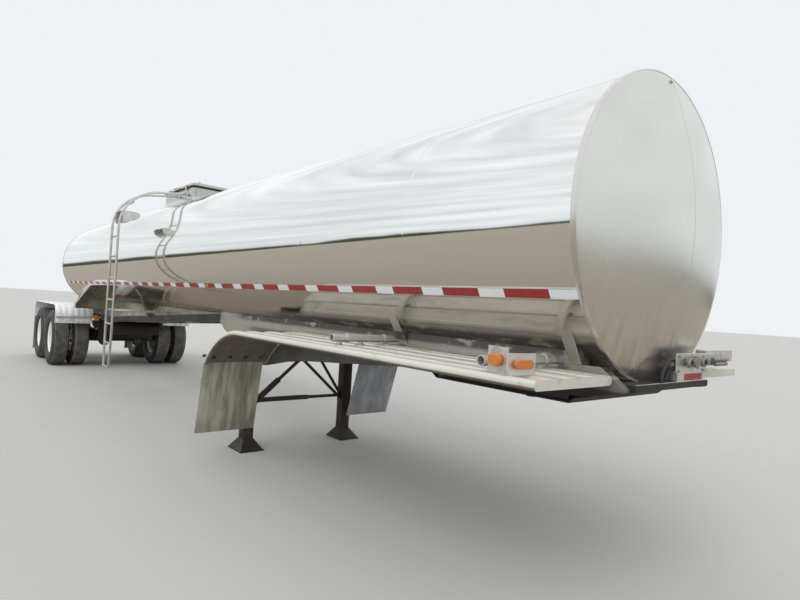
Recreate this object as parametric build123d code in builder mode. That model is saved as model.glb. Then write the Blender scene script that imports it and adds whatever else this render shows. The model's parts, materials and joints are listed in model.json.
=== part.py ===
"""Tank semi-trailer parked on its landing gear. Millimetres, +X front, +Z up, -Y the kerb side."""
import math
import os

from build123d import *

# Barrel
BARREL_R = 842.0
BELLY_Z = 1145.0
BARREL_Z = BELLY_Z + BARREL_R
FRONT_RIM = 6280.0
REAR_RIM = -5910.0
RIM_BAND = 22.0
HEAD_DEPTH = 140.0

# Running gear
AXLE_X = {"front": -4580.0, "rear": -5825.0}
TYRE_R = 512.0
TYRE_W = 276.0
DUAL_Y = 908.0
DUAL_GAP = 330.0
RIM_R = 286.0
FRAME_Y = 440.0
FRAME_W = 60.0
FRAME_LOW = 900.0

# Front end
FENDER_OUT = 1118.0
FENDER_IN = 492.0
FENDER_TOP = 1200.0
FENDER_FRONT = 6315.0
FENDER_BEND = 3417.0
PLATE_Z = 1030.0
PIN_X = 5500.0

# Landing gear
LEG_X = 2588.0
LEG_Y = 571.0

# Ladder and manhole
LADDER_Y = -(BARREL_R + 298)
LADDER_X = (-675.0, -345.0)
HOUSE_X = -720.0
HOUSE_L = 1200.0
HOUSE_W = 560.0
HOUSE_RISE = 161.0
HOUSE_TOP = BARREL_Z + BARREL_R + HOUSE_RISE

SIDES = {"right": -1.0, "left": 1.0}


def span(start, end):
    """Length from one point to another."""
    return math.dist(start, end)


def aim(start, end):
    """Plane at the start of a rod, facing along it."""
    way = [b - a for a, b in zip(start, end)]
    return Plane(origin=start, z_dir=way)


def upright(start, end, z):
    """Upright plane through two floor points, facing to the right of the way from start to end."""
    way = [end[0] - start[0], end[1] - start[1]]
    size = math.hypot(*way)
    middle = [(a + b) / 2 for a, b in zip(start, end)]
    return Plane(origin=(*middle, z), x_dir=(way[0] / size, way[1] / size, 0),
                 z_dir=(way[1] / size, -way[0] / size, 0))


os.makedirs("parts", exist_ok=True)

# Barrel
with BuildPart() as tank_barrel:
    with BuildSketch(Plane.YZ.offset(REAR_RIM + RIM_BAND)):
        with Locations((0, BARREL_Z)):
            Circle(BARREL_R)
    extrude(amount=FRONT_RIM - REAR_RIM - 2 * RIM_BAND)

# Heads: a shallow dish inside a rim band, an arc centred on the barrel's axis
DISH_R = BARREL_R - 8
DISH_SPHERE = (DISH_R ** 2 + (HEAD_DEPTH - 10) ** 2) / (2 * (HEAD_DEPTH - 10))
DISH_MID = DISH_SPHERE - math.sqrt(DISH_SPHERE ** 2 - (DISH_R / 2) ** 2)
with BuildPart() as head_front:
    with BuildSketch(Plane.XZ):
        with BuildLine():
            Polyline((FRONT_RIM - RIM_BAND, BARREL_Z), (FRONT_RIM - RIM_BAND, BARREL_Z + BARREL_R + 4),
                     (FRONT_RIM + 10, BARREL_Z + BARREL_R + 4), (FRONT_RIM + 10, BARREL_Z + BARREL_R - 8))
            ThreePointArc((FRONT_RIM + 10, BARREL_Z + DISH_R),
                          (FRONT_RIM + HEAD_DEPTH - DISH_MID, BARREL_Z + DISH_R / 2),
                          (FRONT_RIM + HEAD_DEPTH, BARREL_Z))
            Line((FRONT_RIM + HEAD_DEPTH, BARREL_Z), (FRONT_RIM - RIM_BAND, BARREL_Z))
        make_face()
    revolve(axis=Axis((0, 0, BARREL_Z), (1, 0, 0)))

with BuildPart() as head_rear:
    with BuildSketch(Plane.XZ):
        with BuildLine():
            Polyline((REAR_RIM + RIM_BAND, BARREL_Z), (REAR_RIM + RIM_BAND, BARREL_Z + BARREL_R + 4),
                     (REAR_RIM - 10, BARREL_Z + BARREL_R + 4), (REAR_RIM - 10, BARREL_Z + BARREL_R - 8))
            ThreePointArc((REAR_RIM - 10, BARREL_Z + DISH_R),
                          (REAR_RIM - HEAD_DEPTH + DISH_MID, BARREL_Z + DISH_R / 2),
                          (REAR_RIM - HEAD_DEPTH, BARREL_Z))
            Line((REAR_RIM - HEAD_DEPTH, BARREL_Z), (REAR_RIM + RIM_BAND, BARREL_Z))
        make_face()
    revolve(axis=Axis((0, 0, BARREL_Z), (1, 0, 0)))

# Manhole housing: open box standing on the barrel, with a spill flange
WALL = 14.0
HOUSE_FOOT = BARREL_Z + BARREL_R - 129
LID_HINGE = (HOUSE_X, HOUSE_W / 2 + 30, HOUSE_TOP + 16)
with BuildPart() as manhole_housing:
    with BuildSketch(Plane.XY.offset(HOUSE_FOOT)):
        with Locations((HOUSE_X, 0)):
            RectangleRounded(HOUSE_L, HOUSE_W, 60)
            RectangleRounded(HOUSE_L - 2 * WALL, HOUSE_W - 2 * WALL, 50, mode=Mode.SUBTRACT)
    extrude(amount=HOUSE_TOP - HOUSE_FOOT)
    with BuildSketch(Plane.XY.offset(HOUSE_TOP - 22)):
        with Locations((HOUSE_X, 0)):
            RectangleRounded(HOUSE_L + 36, HOUSE_W + 36, 70)
            RectangleRounded(HOUSE_L - 2 * WALL, HOUSE_W - 2 * WALL, 50, mode=Mode.SUBTRACT)
    extrude(amount=22)
    for start in (HOUSE_X - 370, HOUSE_X + 330.3):
        with BuildSketch(Plane.YZ.offset(start)):
            with Locations((LID_HINGE[1], LID_HINGE[2])):
                Circle(9)
            with Locations((LID_HINGE[1], LID_HINGE[2] - 19)):
                Rectangle(18, 38)
            with Locations((LID_HINGE[1] - 8, HOUSE_TOP - 11)):
                Rectangle(34, 22)
        extrude(amount=39.7)
    with BuildSketch(Plane.YZ.offset(-3000)):
        with Locations((0, BARREL_Z)):
            Circle(BARREL_R + 0.3)
    extrude(amount=6000, mode=Mode.SUBTRACT)

# Housing lid: a shallow pan hinged along its far side
with BuildPart() as housing_lid:
    with BuildSketch(Plane.XY.offset(HOUSE_TOP + 6)):
        with Locations((HOUSE_X, 0)):
            RectangleRounded(HOUSE_L + 20, HOUSE_W + 20, 62)
    extrude(amount=30)
    with BuildSketch(Plane.XY.offset(HOUSE_TOP + 36)):
        with Locations((HOUSE_X, 0)):
            RectangleRounded(HOUSE_L - 60, HOUSE_W - 60, 50)
    extrude(amount=20, taper=35)
    with BuildSketch(Plane.XY.offset(HOUSE_TOP + 56)):
        with Locations((HOUSE_X + 470, -150)):
            Circle(20)
    extrude(amount=14)
    with BuildSketch(Plane.XY.offset(HOUSE_TOP + 70)):
        with Locations((HOUSE_X + 470, -150)):
            Circle(13)
    extrude(amount=20)
    with BuildSketch(Plane.XY.offset(HOUSE_TOP + 6)):
        with Locations((HOUSE_X, 0)):
            RectangleRounded(HOUSE_L - 16, HOUSE_W - 16, 45)
    extrude(amount=22, mode=Mode.SUBTRACT)
    with BuildSketch(Plane.YZ.offset(HOUSE_X - 330)):
        with Locations((LID_HINGE[1], LID_HINGE[2])):
            Circle(9)
        with Locations((LID_HINGE[1] - 12, LID_HINGE[2])):
            Rectangle(24, 12)
    extrude(amount=150)
    with BuildSketch(Plane.YZ.offset(HOUSE_X + 180)):
        with Locations((LID_HINGE[1], LID_HINGE[2])):
            Circle(9)
        with Locations((LID_HINGE[1] - 12, LID_HINGE[2])):
            Rectangle(24, 12)
    extrude(amount=150)

# Manway neck and fittings under the lid
NECK_R = HOUSE_W / 2 - WALL - 16
NECK_TOP = HOUSE_TOP - 118
NECK_FOOT = NECK_TOP - 112
with BuildPart() as manway_neck:
    with BuildSketch(Plane.XY.offset(NECK_FOOT)):
        with Locations((HOUSE_X + 130, 0)):
            Circle(NECK_R)
    extrude(amount=NECK_TOP - NECK_FOOT)
    with BuildSketch(Plane.XY.offset(NECK_TOP - 14)):
        with Locations((HOUSE_X + 130, 0)):
            Circle(NECK_R + 12)
    extrude(amount=14)
    with BuildSketch(Plane.XY.offset(NECK_FOOT)):
        with Locations((HOUSE_X - 330, 90), (HOUSE_X - 330, -90)):
            Circle(48)
    extrude(amount=130)
    with BuildSketch(Plane.XY.offset(NECK_FOOT + 130)):
        with Locations((HOUSE_X - 330, 90), (HOUSE_X - 330, -90)):
            Circle(62)
    extrude(amount=26)
    with BuildSketch(Plane.XY.offset(NECK_FOOT)):
        with Locations((HOUSE_X - 480, 0)):
            Circle(34)
    extrude(amount=180)
    with BuildSketch(Plane.XZ.offset(-30)):
        with Locations((HOUSE_X - 145, NECK_TOP + 14)):
            Circle(13)
        with Locations((HOUSE_X - 145, NECK_TOP - 6)):
            Rectangle(26, 40)
        with Locations((HOUSE_X - 145, NECK_TOP + 14)):
            Circle(6.5, mode=Mode.SUBTRACT)
    extrude(amount=60)
    with BuildSketch(Plane.YZ.offset(-3000)):
        with Locations((0, BARREL_Z)):
            Circle(BARREL_R + 0.3)
    extrude(amount=6000, mode=Mode.SUBTRACT)

# Closed cover of the manway with its two hinge lugs
with BuildPart() as manway_cover:
    with BuildSketch(Plane.XY.offset(NECK_TOP + 0.5)):
        with Locations((HOUSE_X + 130, 0)):
            Circle(NECK_R + 6)
    extrude(amount=22)
    with BuildSketch(Plane.XY.offset(NECK_TOP + 22.5)):
        with Locations((HOUSE_X + 130, 0)):
            Circle(NECK_R - 30)
    extrude(amount=26, taper=60)
    with BuildSketch(Plane.XZ.offset(36)):
        with Locations((HOUSE_X - 145, NECK_TOP + 14)):
            Circle(12)
        with Locations((HOUSE_X - 115, NECK_TOP + 14)):
            Rectangle(60, 14)
    extrude(amount=26)
    with BuildSketch(Plane.XZ.offset(-62)):
        with Locations((HOUSE_X - 145, NECK_TOP + 14)):
            Circle(12)
        with Locations((HOUSE_X - 115, NECK_TOP + 14)):
            Rectangle(60, 14)
    extrude(amount=26)

# Ladder: two bent rails with rungs, stand-offs and a shoulder step
RAIL_R = 16.0
RUNGS = (1355, 1650, 1950, 2250)
with BuildPart() as ladder:
    for x in LADDER_X:
        with BuildLine(Plane.YZ.offset(x)) as path:
            Line((LADDER_Y, 1040), (LADDER_Y, HOUSE_TOP - 640))
            ThreePointArc((LADDER_Y, HOUSE_TOP - 640), (LADDER_Y + 202, HOUSE_TOP - 278),
                          (LADDER_Y + 500, HOUSE_TOP - 106))
            Line((LADDER_Y + 500, HOUSE_TOP - 106), (-HOUSE_W / 2 - 18, HOUSE_TOP - 56))
        with BuildSketch(Plane(origin=(x, LADDER_Y, 1040), z_dir=(0, 0, 1))):
            Circle(RAIL_R)
        sweep(path=path.line)
    for z in RUNGS:
        with BuildSketch(Plane.YZ.offset(LADDER_X[0])):
            with Locations((LADDER_Y, z)):
                Circle(12)
        extrude(amount=LADDER_X[1] - LADDER_X[0])
    for y, z in ((LADDER_Y + 180, HOUSE_TOP - 300), (LADDER_Y + 400, HOUSE_TOP - 150), (-440, HOUSE_TOP - 78)):
        with BuildSketch(Plane.YZ.offset(LADDER_X[0])):
            with Locations((y, z)):
                Circle(12)
        extrude(amount=LADDER_X[1] - LADDER_X[0])
    for x in LADDER_X:
        for z, reach in ((1200, 620), (2060, 480)):
            with BuildSketch(Plane.XZ.offset(-LADDER_Y - 10)):
                with Locations((x, z)):
                    Circle(12)
            extrude(amount=-reach)
    with BuildSketch(Plane.XY.offset(HOUSE_TOP - 450)):
        with Locations(((LADDER_X[0] + LADDER_X[1]) / 2, LADDER_Y + 295)):
            Rectangle(390, 500)
    extrude(amount=22)
    with BuildSketch(Plane.YZ.offset(-3000)):
        with Locations((0, BARREL_Z)):
            Circle(BARREL_R + 0.3)
    extrude(amount=6000, mode=Mode.SUBTRACT)

with BuildPart() as ladder_drop:
    for start, end in (((-675, LADDER_Y, 1038.5), (-655, LADDER_Y, 446)),
                       ((-345, LADDER_Y, 1038.5), (-372, LADDER_Y, 446))):
        with BuildSketch(aim(start, end)):
            Circle(15)
        extrude(amount=span(start, end))
    for z, left, right in ((1040 - 22, -675, -345), (760, -668, -358), (446, -664, -363)):
        with BuildSketch(Plane.YZ.offset(left)):
            with Locations((LADDER_Y, z)):
                Circle(13)
        extrude(amount=right - left)

# Rear frame rails, tapering forward along the belly
RAIL_SIDE = [(1593.7, 1290), (1593.7, 1187), (-3300, FRAME_LOW), (-6420, FRAME_LOW), (-6420, 1080),
             (-6060, 1290)]
with BuildPart() as frame_rails:
    for y in (-FRAME_Y, FRAME_Y):
        with BuildSketch(Plane.XZ.offset(-y - FRAME_W / 2)):
            with BuildLine():
                Polyline(*RAIL_SIDE, close=True)
            make_face()
        extrude(amount=FRAME_W)
        with BuildSketch(Plane.XZ.offset(-y - 60)):
            with BuildLine():
                Polyline((-3200, FRAME_LOW), (-6420, FRAME_LOW), (-6420, FRAME_LOW + 12), (-3200, FRAME_LOW + 12),
                         close=True)
            make_face()
        extrude(amount=120)
    for x, z, high in ((-1300, 1080, 130), (-2600, 1010, 130), (-3880, 1010, 130), (-5200, 1010, 130),
                       (-6380, 925, 50)):
        with BuildSketch(Plane.XZ.offset(-FRAME_Y + FRAME_W / 2)):
            with Locations((x, z)):
                Rectangle(70, high)
        extrude(amount=2 * FRAME_Y - FRAME_W)
    with BuildSketch(Plane.YZ.offset(REAR_RIM + RIM_BAND)):
        with Locations((0, BARREL_Z)):
            Circle(BARREL_R + 4.4)
    extrude(amount=FRONT_RIM - REAR_RIM, mode=Mode.SUBTRACT)
    with BuildSketch(Plane.YZ.offset(REAR_RIM - 10.4)):
        with Locations((0, BARREL_Z)):
            Circle(BARREL_R + 4.4)
    extrude(amount=60, mode=Mode.SUBTRACT)
    with BuildSketch(Plane.YZ.offset(REAR_RIM - 200)):
        with Locations((0, BARREL_Z)):
            Circle(BARREL_R - 8)
    extrude(amount=200, mode=Mode.SUBTRACT)

# Bolsters outside the rails, and the outriggers that carry the rear fenders
BOLSTERS = {
    # middle of the plate, its length along the trailer, outline on one side
    "belly": (-1015, 90, [(470.2, 1100), (470.2, 1300), (690, 1500), (680, 1480), (615, 1385), (500, 1105)]),
    "bogie_front": (-3900, 120, [(470.2, 1100), (470.2, 1300), (703, 1526), (730, 1500), (930, 1180), (930, 1100)]),
}
with BuildPart() as bolsters:
    for middle, length, outline in BOLSTERS.values():
        for side in (-1, 1):
            with BuildSketch(Plane.YZ.offset(middle - length / 2)):
                with BuildLine():
                    Polyline(*[(side * y, z) for y, z in outline], close=True)
                make_face()
            extrude(amount=length)
    with BuildSketch(Plane.YZ.offset(REAR_RIM + RIM_BAND)):
        with Locations((0, BARREL_Z)):
            Circle(BARREL_R + 0.3)
    extrude(amount=12000, mode=Mode.SUBTRACT)

# Suspension: hangers under the rails, leaf springs between them, cross tie in front
HANGERS = (-4020, -5202, -6352)
with BuildPart() as spring_hangers:
    for x in HANGERS:
        for y in (-FRAME_Y, FRAME_Y):
            with BuildSketch(Plane.XZ.offset(-y - 48)):
                with BuildLine():
                    low = 520 if x != HANGERS[1] else 600
                    Polyline((x - 60, FRAME_LOW), (x - 30, low), (x + 30, low), (x + 60, FRAME_LOW), close=True)
                make_face()
            extrude(amount=96)
    with BuildSketch(Plane.XZ.offset(-FRAME_Y + 48)):
        with Locations((-4020, 640)):
            Rectangle(50, 170)
    extrude(amount=2 * FRAME_Y - 96)

SPRING_ENDS = {"front": (560, -600), "rear": (600, -540)}
with BuildPart() as leaf_springs:
    for end, x in AXLE_X.items():
        ahead, behind = SPRING_ENDS[end]
        for y in (-FRAME_Y, FRAME_Y):
            with BuildSketch(Plane.XZ.offset(-y - 38)):
                with BuildLine():
                    Polyline((x + behind, 700), (x + behind, 718), (x - 200, 690), (x + 200, 690),
                             (x + ahead, 718), (x + ahead, 700), (x + 360, 656), (x + 150, 612),
                             (x - 150, 612), (x - 360, 656), close=True)
                make_face()
            extrude(amount=76)
    for x in HANGERS:
        low = 520 if x != HANGERS[1] else 600
        with BuildSketch(Plane.XZ.offset(-600)):
            with BuildLine():
                Polyline((x - 60, FRAME_LOW), (x - 30, low), (x + 30, low), (x + 60, FRAME_LOW), close=True)
            make_face()
        extrude(amount=1200, mode=Mode.SUBTRACT)

# Axles with spring seats, brake chambers and spindles
with BuildPart() as axle_front:
    with BuildSketch(Plane.XZ.offset(-(DUAL_Y - 240))):
        with Locations((AXLE_X["front"], TYRE_R)):
            Circle(63.5)
    extrude(amount=2 * (DUAL_Y - 240))
    with BuildSketch(Plane.XZ.offset(-(DUAL_Y + 40))):
        with Locations((AXLE_X["front"], TYRE_R)):
            Circle(34)
    extrude(amount=2 * (DUAL_Y + 40))
    with BuildSketch(Plane.XY.offset(TYRE_R)):
        with Locations((AXLE_X["front"], -FRAME_Y), (AXLE_X["front"], FRAME_Y)):
            Rectangle(150, 90)
    extrude(amount=99.8)
    for y in (-300, 300):
        with BuildSketch(Plane.YZ.offset(AXLE_X["front"] + 40)):
            with Locations((y, 470)):
                Rectangle(30, 60)
        extrude(amount=110)
        with BuildSketch(Plane.YZ.offset(AXLE_X["front"] + 130)):
            with Locations((y, 470)):
                Circle(82)
        extrude(amount=150)

with BuildPart() as axle_rear:
    with BuildSketch(Plane.XZ.offset(-(DUAL_Y - 240))):
        with Locations((AXLE_X["rear"], TYRE_R)):
            Circle(63.5)
    extrude(amount=2 * (DUAL_Y - 240))
    with BuildSketch(Plane.XZ.offset(-(DUAL_Y + 40))):
        with Locations((AXLE_X["rear"], TYRE_R)):
            Circle(34)
    extrude(amount=2 * (DUAL_Y + 40))
    with BuildSketch(Plane.XY.offset(TYRE_R)):
        with Locations((AXLE_X["rear"], -FRAME_Y), (AXLE_X["rear"], FRAME_Y)):
            Rectangle(150, 90)
    extrude(amount=99.8)
    for y in (-300, 300):
        with BuildSketch(Plane.YZ.offset(AXLE_X["rear"] + 40)):
            with Locations((y, 470)):
                Rectangle(30, 60)
        extrude(amount=110)
        with BuildSketch(Plane.YZ.offset(AXLE_X["rear"] + 130)):
            with Locations((y, 470)):
                Circle(82)
        extrude(amount=150)

# Twin wheels: outlines are (distance outward from the middle of the pair, radius)
TYRE_LINE = [(-97, 287), (-97, 303), (-128, 326), (-138, 392), (-132, 462), (-108, 502), (-90, 512),
             (90, 512), (108, 502), (132, 462), (138, 392), (128, 326), (97, 303), (97, 287)]
RIM_LINE = [(2, 112), (14, 112), (14, 172), (72, 258), (258, 266), (272, 266), (272, 300), (263.5, 300),
            (263.5, 286), (66.5, 286), (66.5, 300), (58, 300), (54, 262), (2, 178)]
HUB_LINE = [(-228, 34.35), (-228, 206), (-60, 206), (-60, 150), (-30, 104), (-1.9, 104), (-1.9, 168), (1.9, 168),
            (1.9, 104), (70, 96), (110, 78), (118, 60), (118, 0), (60, 0), (60, 34.35)]
PIECES = {}
for end, x in AXLE_X.items():
    for side, out in SIDES.items():
        with BuildPart() as tyres:
            for middle in (-DUAL_GAP / 2, DUAL_GAP / 2):
                with BuildSketch(Plane(origin=(x, out * (DUAL_Y + middle), TYRE_R), x_dir=(0, out, 0),
                                       z_dir=(1, 0, 0))):
                    with BuildLine():
                        Polyline(*TYRE_LINE, close=True)
                    make_face()
                revolve(axis=Axis((x, 0, TYRE_R), (0, 1, 0)))
        PIECES[f"tyres_{end}_{side}"] = tyres.part

        with BuildPart() as rims:
            for face in (-1, 1):
                with BuildSketch(Plane(origin=(x, out * DUAL_Y, TYRE_R), x_dir=(0, out, 0), z_dir=(1, 0, 0))):
                    with BuildLine():
                        Polyline(*[(face * reach, r) for reach, r in RIM_LINE], close=True)
                    make_face()
                revolve(axis=Axis((x, 0, TYRE_R), (0, 1, 0)))
            with BuildSketch(Plane.XZ.offset(-out * DUAL_Y - 20)):
                with Locations((x, TYRE_R)):
                    with PolarLocations(138, 10):
                        Circle(13)
            extrude(amount=40, mode=Mode.SUBTRACT)
        PIECES[f"rims_{end}_{side}"] = rims.part

        with BuildPart() as hub:
            with BuildSketch(Plane(origin=(x, out * DUAL_Y, TYRE_R), x_dir=(0, out, 0), z_dir=(1, 0, 0))):
                with BuildLine():
                    Polyline(*HUB_LINE, close=True)
                make_face()
            revolve(axis=Axis((x, 0, TYRE_R), (0, 1, 0)))
            with BuildSketch(Plane.XZ.offset(-out * DUAL_Y - 36)):
                with Locations((x, TYRE_R)):
                    with PolarLocations(138, 10):
                        Circle(12.9)
            extrude(amount=72)
        PIECES[f"hub_{end}_{side}"] = hub.part

# Rear fenders: one ribbed shell over both axles on each side
REAR_IN = 600.0
REAR_OUT = 1212.0
REAR_RIBS = (640, 738, 836, 934, 1032, 1130)
for side, out in SIDES.items():
    with BuildPart() as fender:
        for low, high, lift in [(REAR_IN, REAR_OUT, 0)] + [(r, r + 46, 9) for r in REAR_RIBS]:
            near, far = sorted((out * low, out * high))
            with BuildSketch(Plane.XZ.offset(-far)):
                with BuildLine():
                    Line((-4010 + lift, 815), (-4010 + lift, 955))
                    ThreePointArc((-4010 + lift, 955), (-4066 + 0.7 * lift, 1089 + 0.7 * lift), (-4200, 1145 + lift))
                    Line((-4200, 1145 + lift), (-6205, 1145 + lift))
                    ThreePointArc((-6205, 1145 + lift), (-6339 - 0.7 * lift, 1089 + 0.7 * lift), (-6395 - lift, 955))
                    Polyline((-6395 - lift, 955), (-6395 - lift, 815), (-6389, 815), (-6389, 955))
                    ThreePointArc((-6389, 955), (-6335, 1085), (-6205, 1139))
                    Line((-6205, 1139), (-4200, 1139))
                    ThreePointArc((-4200, 1139), (-4070, 1085), (-4016, 955))
                    Polyline((-4016, 955), (-4016, 815), (-4010 + lift, 815))
                make_face()
            extrude(amount=far - near)
    PIECES[f"rear_fender_{side}"] = fender.part

# Poles that hold the rear fenders, ahead of and between the wheels
with BuildPart() as fender_poles:
    for x, z in ((-3978, 936), (-5202, 1108)):
        for out in (-1, 1):
            with BuildSketch(Plane.XZ.offset(-out * 470.2)):
                with Locations((x, z)):
                    Circle(21)
            extrude(amount=-out * 736)
    for out in (-1, 1):
        with BuildSketch(Plane.XZ.offset(-out * 1160 - 20)):
            with Locations((-3990, 930)):
                Rectangle(22, 60)
        extrude(amount=40)
        with BuildSketch(Plane.XZ.offset(-out * 900 - 20)):
            with Locations((-5202, 1122)):
                Rectangle(60, 33.6)
        extrude(amount=40)

# Rear flaps
with BuildPart() as rear_flaps:
    for out in (-1, 1):
        with BuildSketch(Plane.XZ.offset(-out * 905 - 300)):
            with Locations((-6408.2, 515)):
                Rectangle(8, 760)
        extrude(amount=600)

# Front fenders: extruded plank with a round nose, raised ribs and a bent tail
BEND_R = 830.0
BEND_TURN = 52.0
for side, out in SIDES.items():
    with BuildPart() as fender:
        for stretch in ("straight", "bend"):
            with BuildSketch(Plane.YZ.offset(FENDER_BEND)):
                with Locations((out * (FENDER_OUT + FENDER_IN) / 2, FENDER_TOP - 14)):
                    Rectangle(FENDER_OUT - FENDER_IN - 30, 8)
                with Locations((out * (FENDER_OUT - 23), FENDER_TOP - 23)):
                    RectangleRounded(46, 46, 21)
                with Locations((out * (FENDER_IN + 4), FENDER_TOP - 18)):
                    Rectangle(8, 32)
                with Locations((out * (FENDER_IN + 12), FENDER_TOP - 14)):
                    Rectangle(16, 8)
                with Locations(*[(out * rib, FENDER_TOP - 11) for rib in (590, 775, 950)]):
                    RectangleRounded(52, 21, 10)
            if stretch == "straight":
                extrude(amount=FENDER_FRONT - FENDER_BEND - 8)
            else:
                revolve(axis=Axis((FENDER_BEND, 0, FENDER_TOP - BEND_R), (0, -1, 0)), revolution_arc=BEND_TURN)
        with BuildSketch(Plane.YZ.offset(FENDER_FRONT - 8)):
            with Locations((out * (FENDER_OUT + FENDER_IN) / 2, FENDER_TOP - 23)):
                RectangleRounded(FENDER_OUT - FENDER_IN, 46, 21)
        extrude(amount=8)
    PIECES[f"front_fender_{side}"] = fender.part

# Flaps behind the front fenders
with BuildPart() as front_flaps:
    with BuildSketch(Plane.XZ.offset(820 - 290)):
        with BuildLine():
            Polyline((FENDER_BEND - 653.7, 885), (FENDER_BEND - 760, 210), (FENDER_BEND - 768, 211),
                     (FENDER_BEND - 661.7, 886), close=True)
        make_face()
    extrude(amount=580)
    with BuildSketch(Plane.XZ.offset(-788 - 278)):
        with BuildLine():
            Polyline((FENDER_BEND - 447.5, 1036), (FENDER_BEND - 679, 266), (FENDER_BEND - 687, 268),
                     (FENDER_BEND - 456, 1037), close=True)
        make_face()
    extrude(amount=552)

# Front frame: side plates from the landing gear to the coupler
FRONT_SIDE = [(1594, 1300), (1594, 1186), (1720, 1108), (2520, 848), (2570, 826), (2700, 826), (3210, 930),
              (4950, 1074), (5118, 1074), (5118, 1042.2), (6080, 1042.2), (6080, 1072), (6130, 1072), (6376, 1117),
              (6376, 1140), (6251, 1235), (6080, 1235), (6080, 1300)]
with BuildPart() as front_frame:
    for out in (-1, 1):
        with BuildSketch(Plane.XZ.offset(-out * 460 - 30)):
            with BuildLine():
                Polyline(*FRONT_SIDE, close=True)
            make_face()
        extrude(amount=60)
        with BuildSketch(Plane.XZ.offset(-out * 500 - 14)):
            with Locations((LEG_X, 960)):
                Rectangle(150, 180)
        extrude(amount=28)
    for x, low in ((2100, 1060), (3300, 990), (4200, 1040)):
        with BuildSketch(Plane.XZ.offset(-430)):
            with Locations((x, low + 60)):
                Rectangle(60, 120)
        extrude(amount=860)
    with BuildSketch(Plane.YZ.offset(0)):
        with Locations((0, BARREL_Z)):
            Circle(BARREL_R + 0.3)
    extrude(amount=6600, mode=Mode.SUBTRACT)

# Coupler: box, rubbing plate with turned-up edges, king pin
with BuildPart() as coupler_box:
    for x in (5180, 5400, 5640, 5850, 6050):
        with BuildSketch(Plane.YZ.offset(x)):
            with Locations((0, 1170)):
                Rectangle(859.6, 255.6)
        extrude(amount=28)
    with BuildSketch(Plane.XZ.offset(-60)):
        with Locations((5629, 1170)):
            Rectangle(896, 255.6)
    extrude(amount=120)
    with BuildSketch(Plane.YZ.offset(0)):
        with Locations((0, BARREL_Z)):
            Circle(BARREL_R + 0.3)
    extrude(amount=6600, mode=Mode.SUBTRACT)

COLLAR_R = 35.7
PLATE_T = 12.0
with BuildPart() as coupler_plate:
    with BuildSketch(Plane.XZ.offset(-500)):
        with BuildLine():
            Polyline((5060, 1062), (5110, 1030), (6088, 1030), (6124, 1060), (6116, 1070), (6084, 1042),
                     (5114, 1042), (5066, 1072), close=True)
        make_face()
    extrude(amount=1000)
    with BuildSketch(Plane.XY.offset(PLATE_Z)):
        with Locations((PIN_X, 0)):
            Circle(COLLAR_R + 0.3)
    extrude(amount=PLATE_T, mode=Mode.SUBTRACT)

with BuildPart() as king_pin:
    with BuildSketch(Plane.XY.offset(PLATE_Z + PLATE_T)):
        with Locations((PIN_X, 0)):
            Circle(COLLAR_R)
    extrude(amount=-31 - PLATE_T)
    with BuildSketch(Plane.XY.offset(PLATE_Z - 31)):
        with Locations((PIN_X, 0)):
            Circle(25.4)
    extrude(amount=-35)
    with BuildSketch(Plane.XY.offset(PLATE_Z - 66)):
        with Locations((PIN_X, 0)):
            Circle(COLLAR_R)
    extrude(amount=-18)

# Wedges between the frame's side plates and the barrel's flanks
with BuildPart() as front_cradle:
    for out in (-1, 1):
        with BuildSketch(Plane.YZ.offset(4718)):
            with BuildLine():
                Polyline((out * 490.2, 1213), (out * 490.2, 1310), (out * 560, 1400), (out * 625, 1430), close=True)
            make_face()
        extrude(amount=82)
        with BuildSketch(Plane.YZ.offset(6080.3)):
            with BuildLine():
                Polyline((out * 430, 1235.3), (out * 503, 1235.3), (out * 625, 1430), (out * 430, 1300), close=True)
            make_face()
        extrude(amount=72)
    with BuildSketch(Plane.YZ.offset(0)):
        with Locations((0, BARREL_Z)):
            Circle(BARREL_R + 0.3)
    extrude(amount=FRONT_RIM - RIM_BAND, mode=Mode.SUBTRACT)
    with BuildSketch(Plane.YZ.offset(FRONT_RIM - RIM_BAND - 0.3)):
        with Locations((0, BARREL_Z)):
            Circle(BARREL_R + 4.5)
    extrude(amount=200, mode=Mode.SUBTRACT)

# Nose box that carries the hose couplings, and the bracket on it
with BuildPart() as nose_box:
    with BuildSketch(Plane.YZ.offset(6294.3)):
        with Locations((0, 1145)):
            RectangleRounded(859.4, 34, 8)
    extrude(amount=111.7)

COUPLING_Y = (100.0, 280.0)
COUPLING_Z = 1270.0
with BuildPart() as gladhand_bracket:
    with BuildSketch(Plane.YZ.offset(6396)):
        with Locations((195, 1261)):
            RectangleRounded(370, 110, 12)
        with Locations((500, 1280)):
            Rectangle(280, 72)
    extrude(amount=8)
    with BuildSketch(Plane.YZ.offset(6350)):
        with Locations((195, 1187.2)):
            Rectangle(330, 50)
    extrude(amount=54)
    with BuildSketch(Plane.YZ.offset(6340)):
        with Locations((600, 1298)):
            RectangleRounded(400, 70, 8)
    extrude(amount=60)

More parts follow.
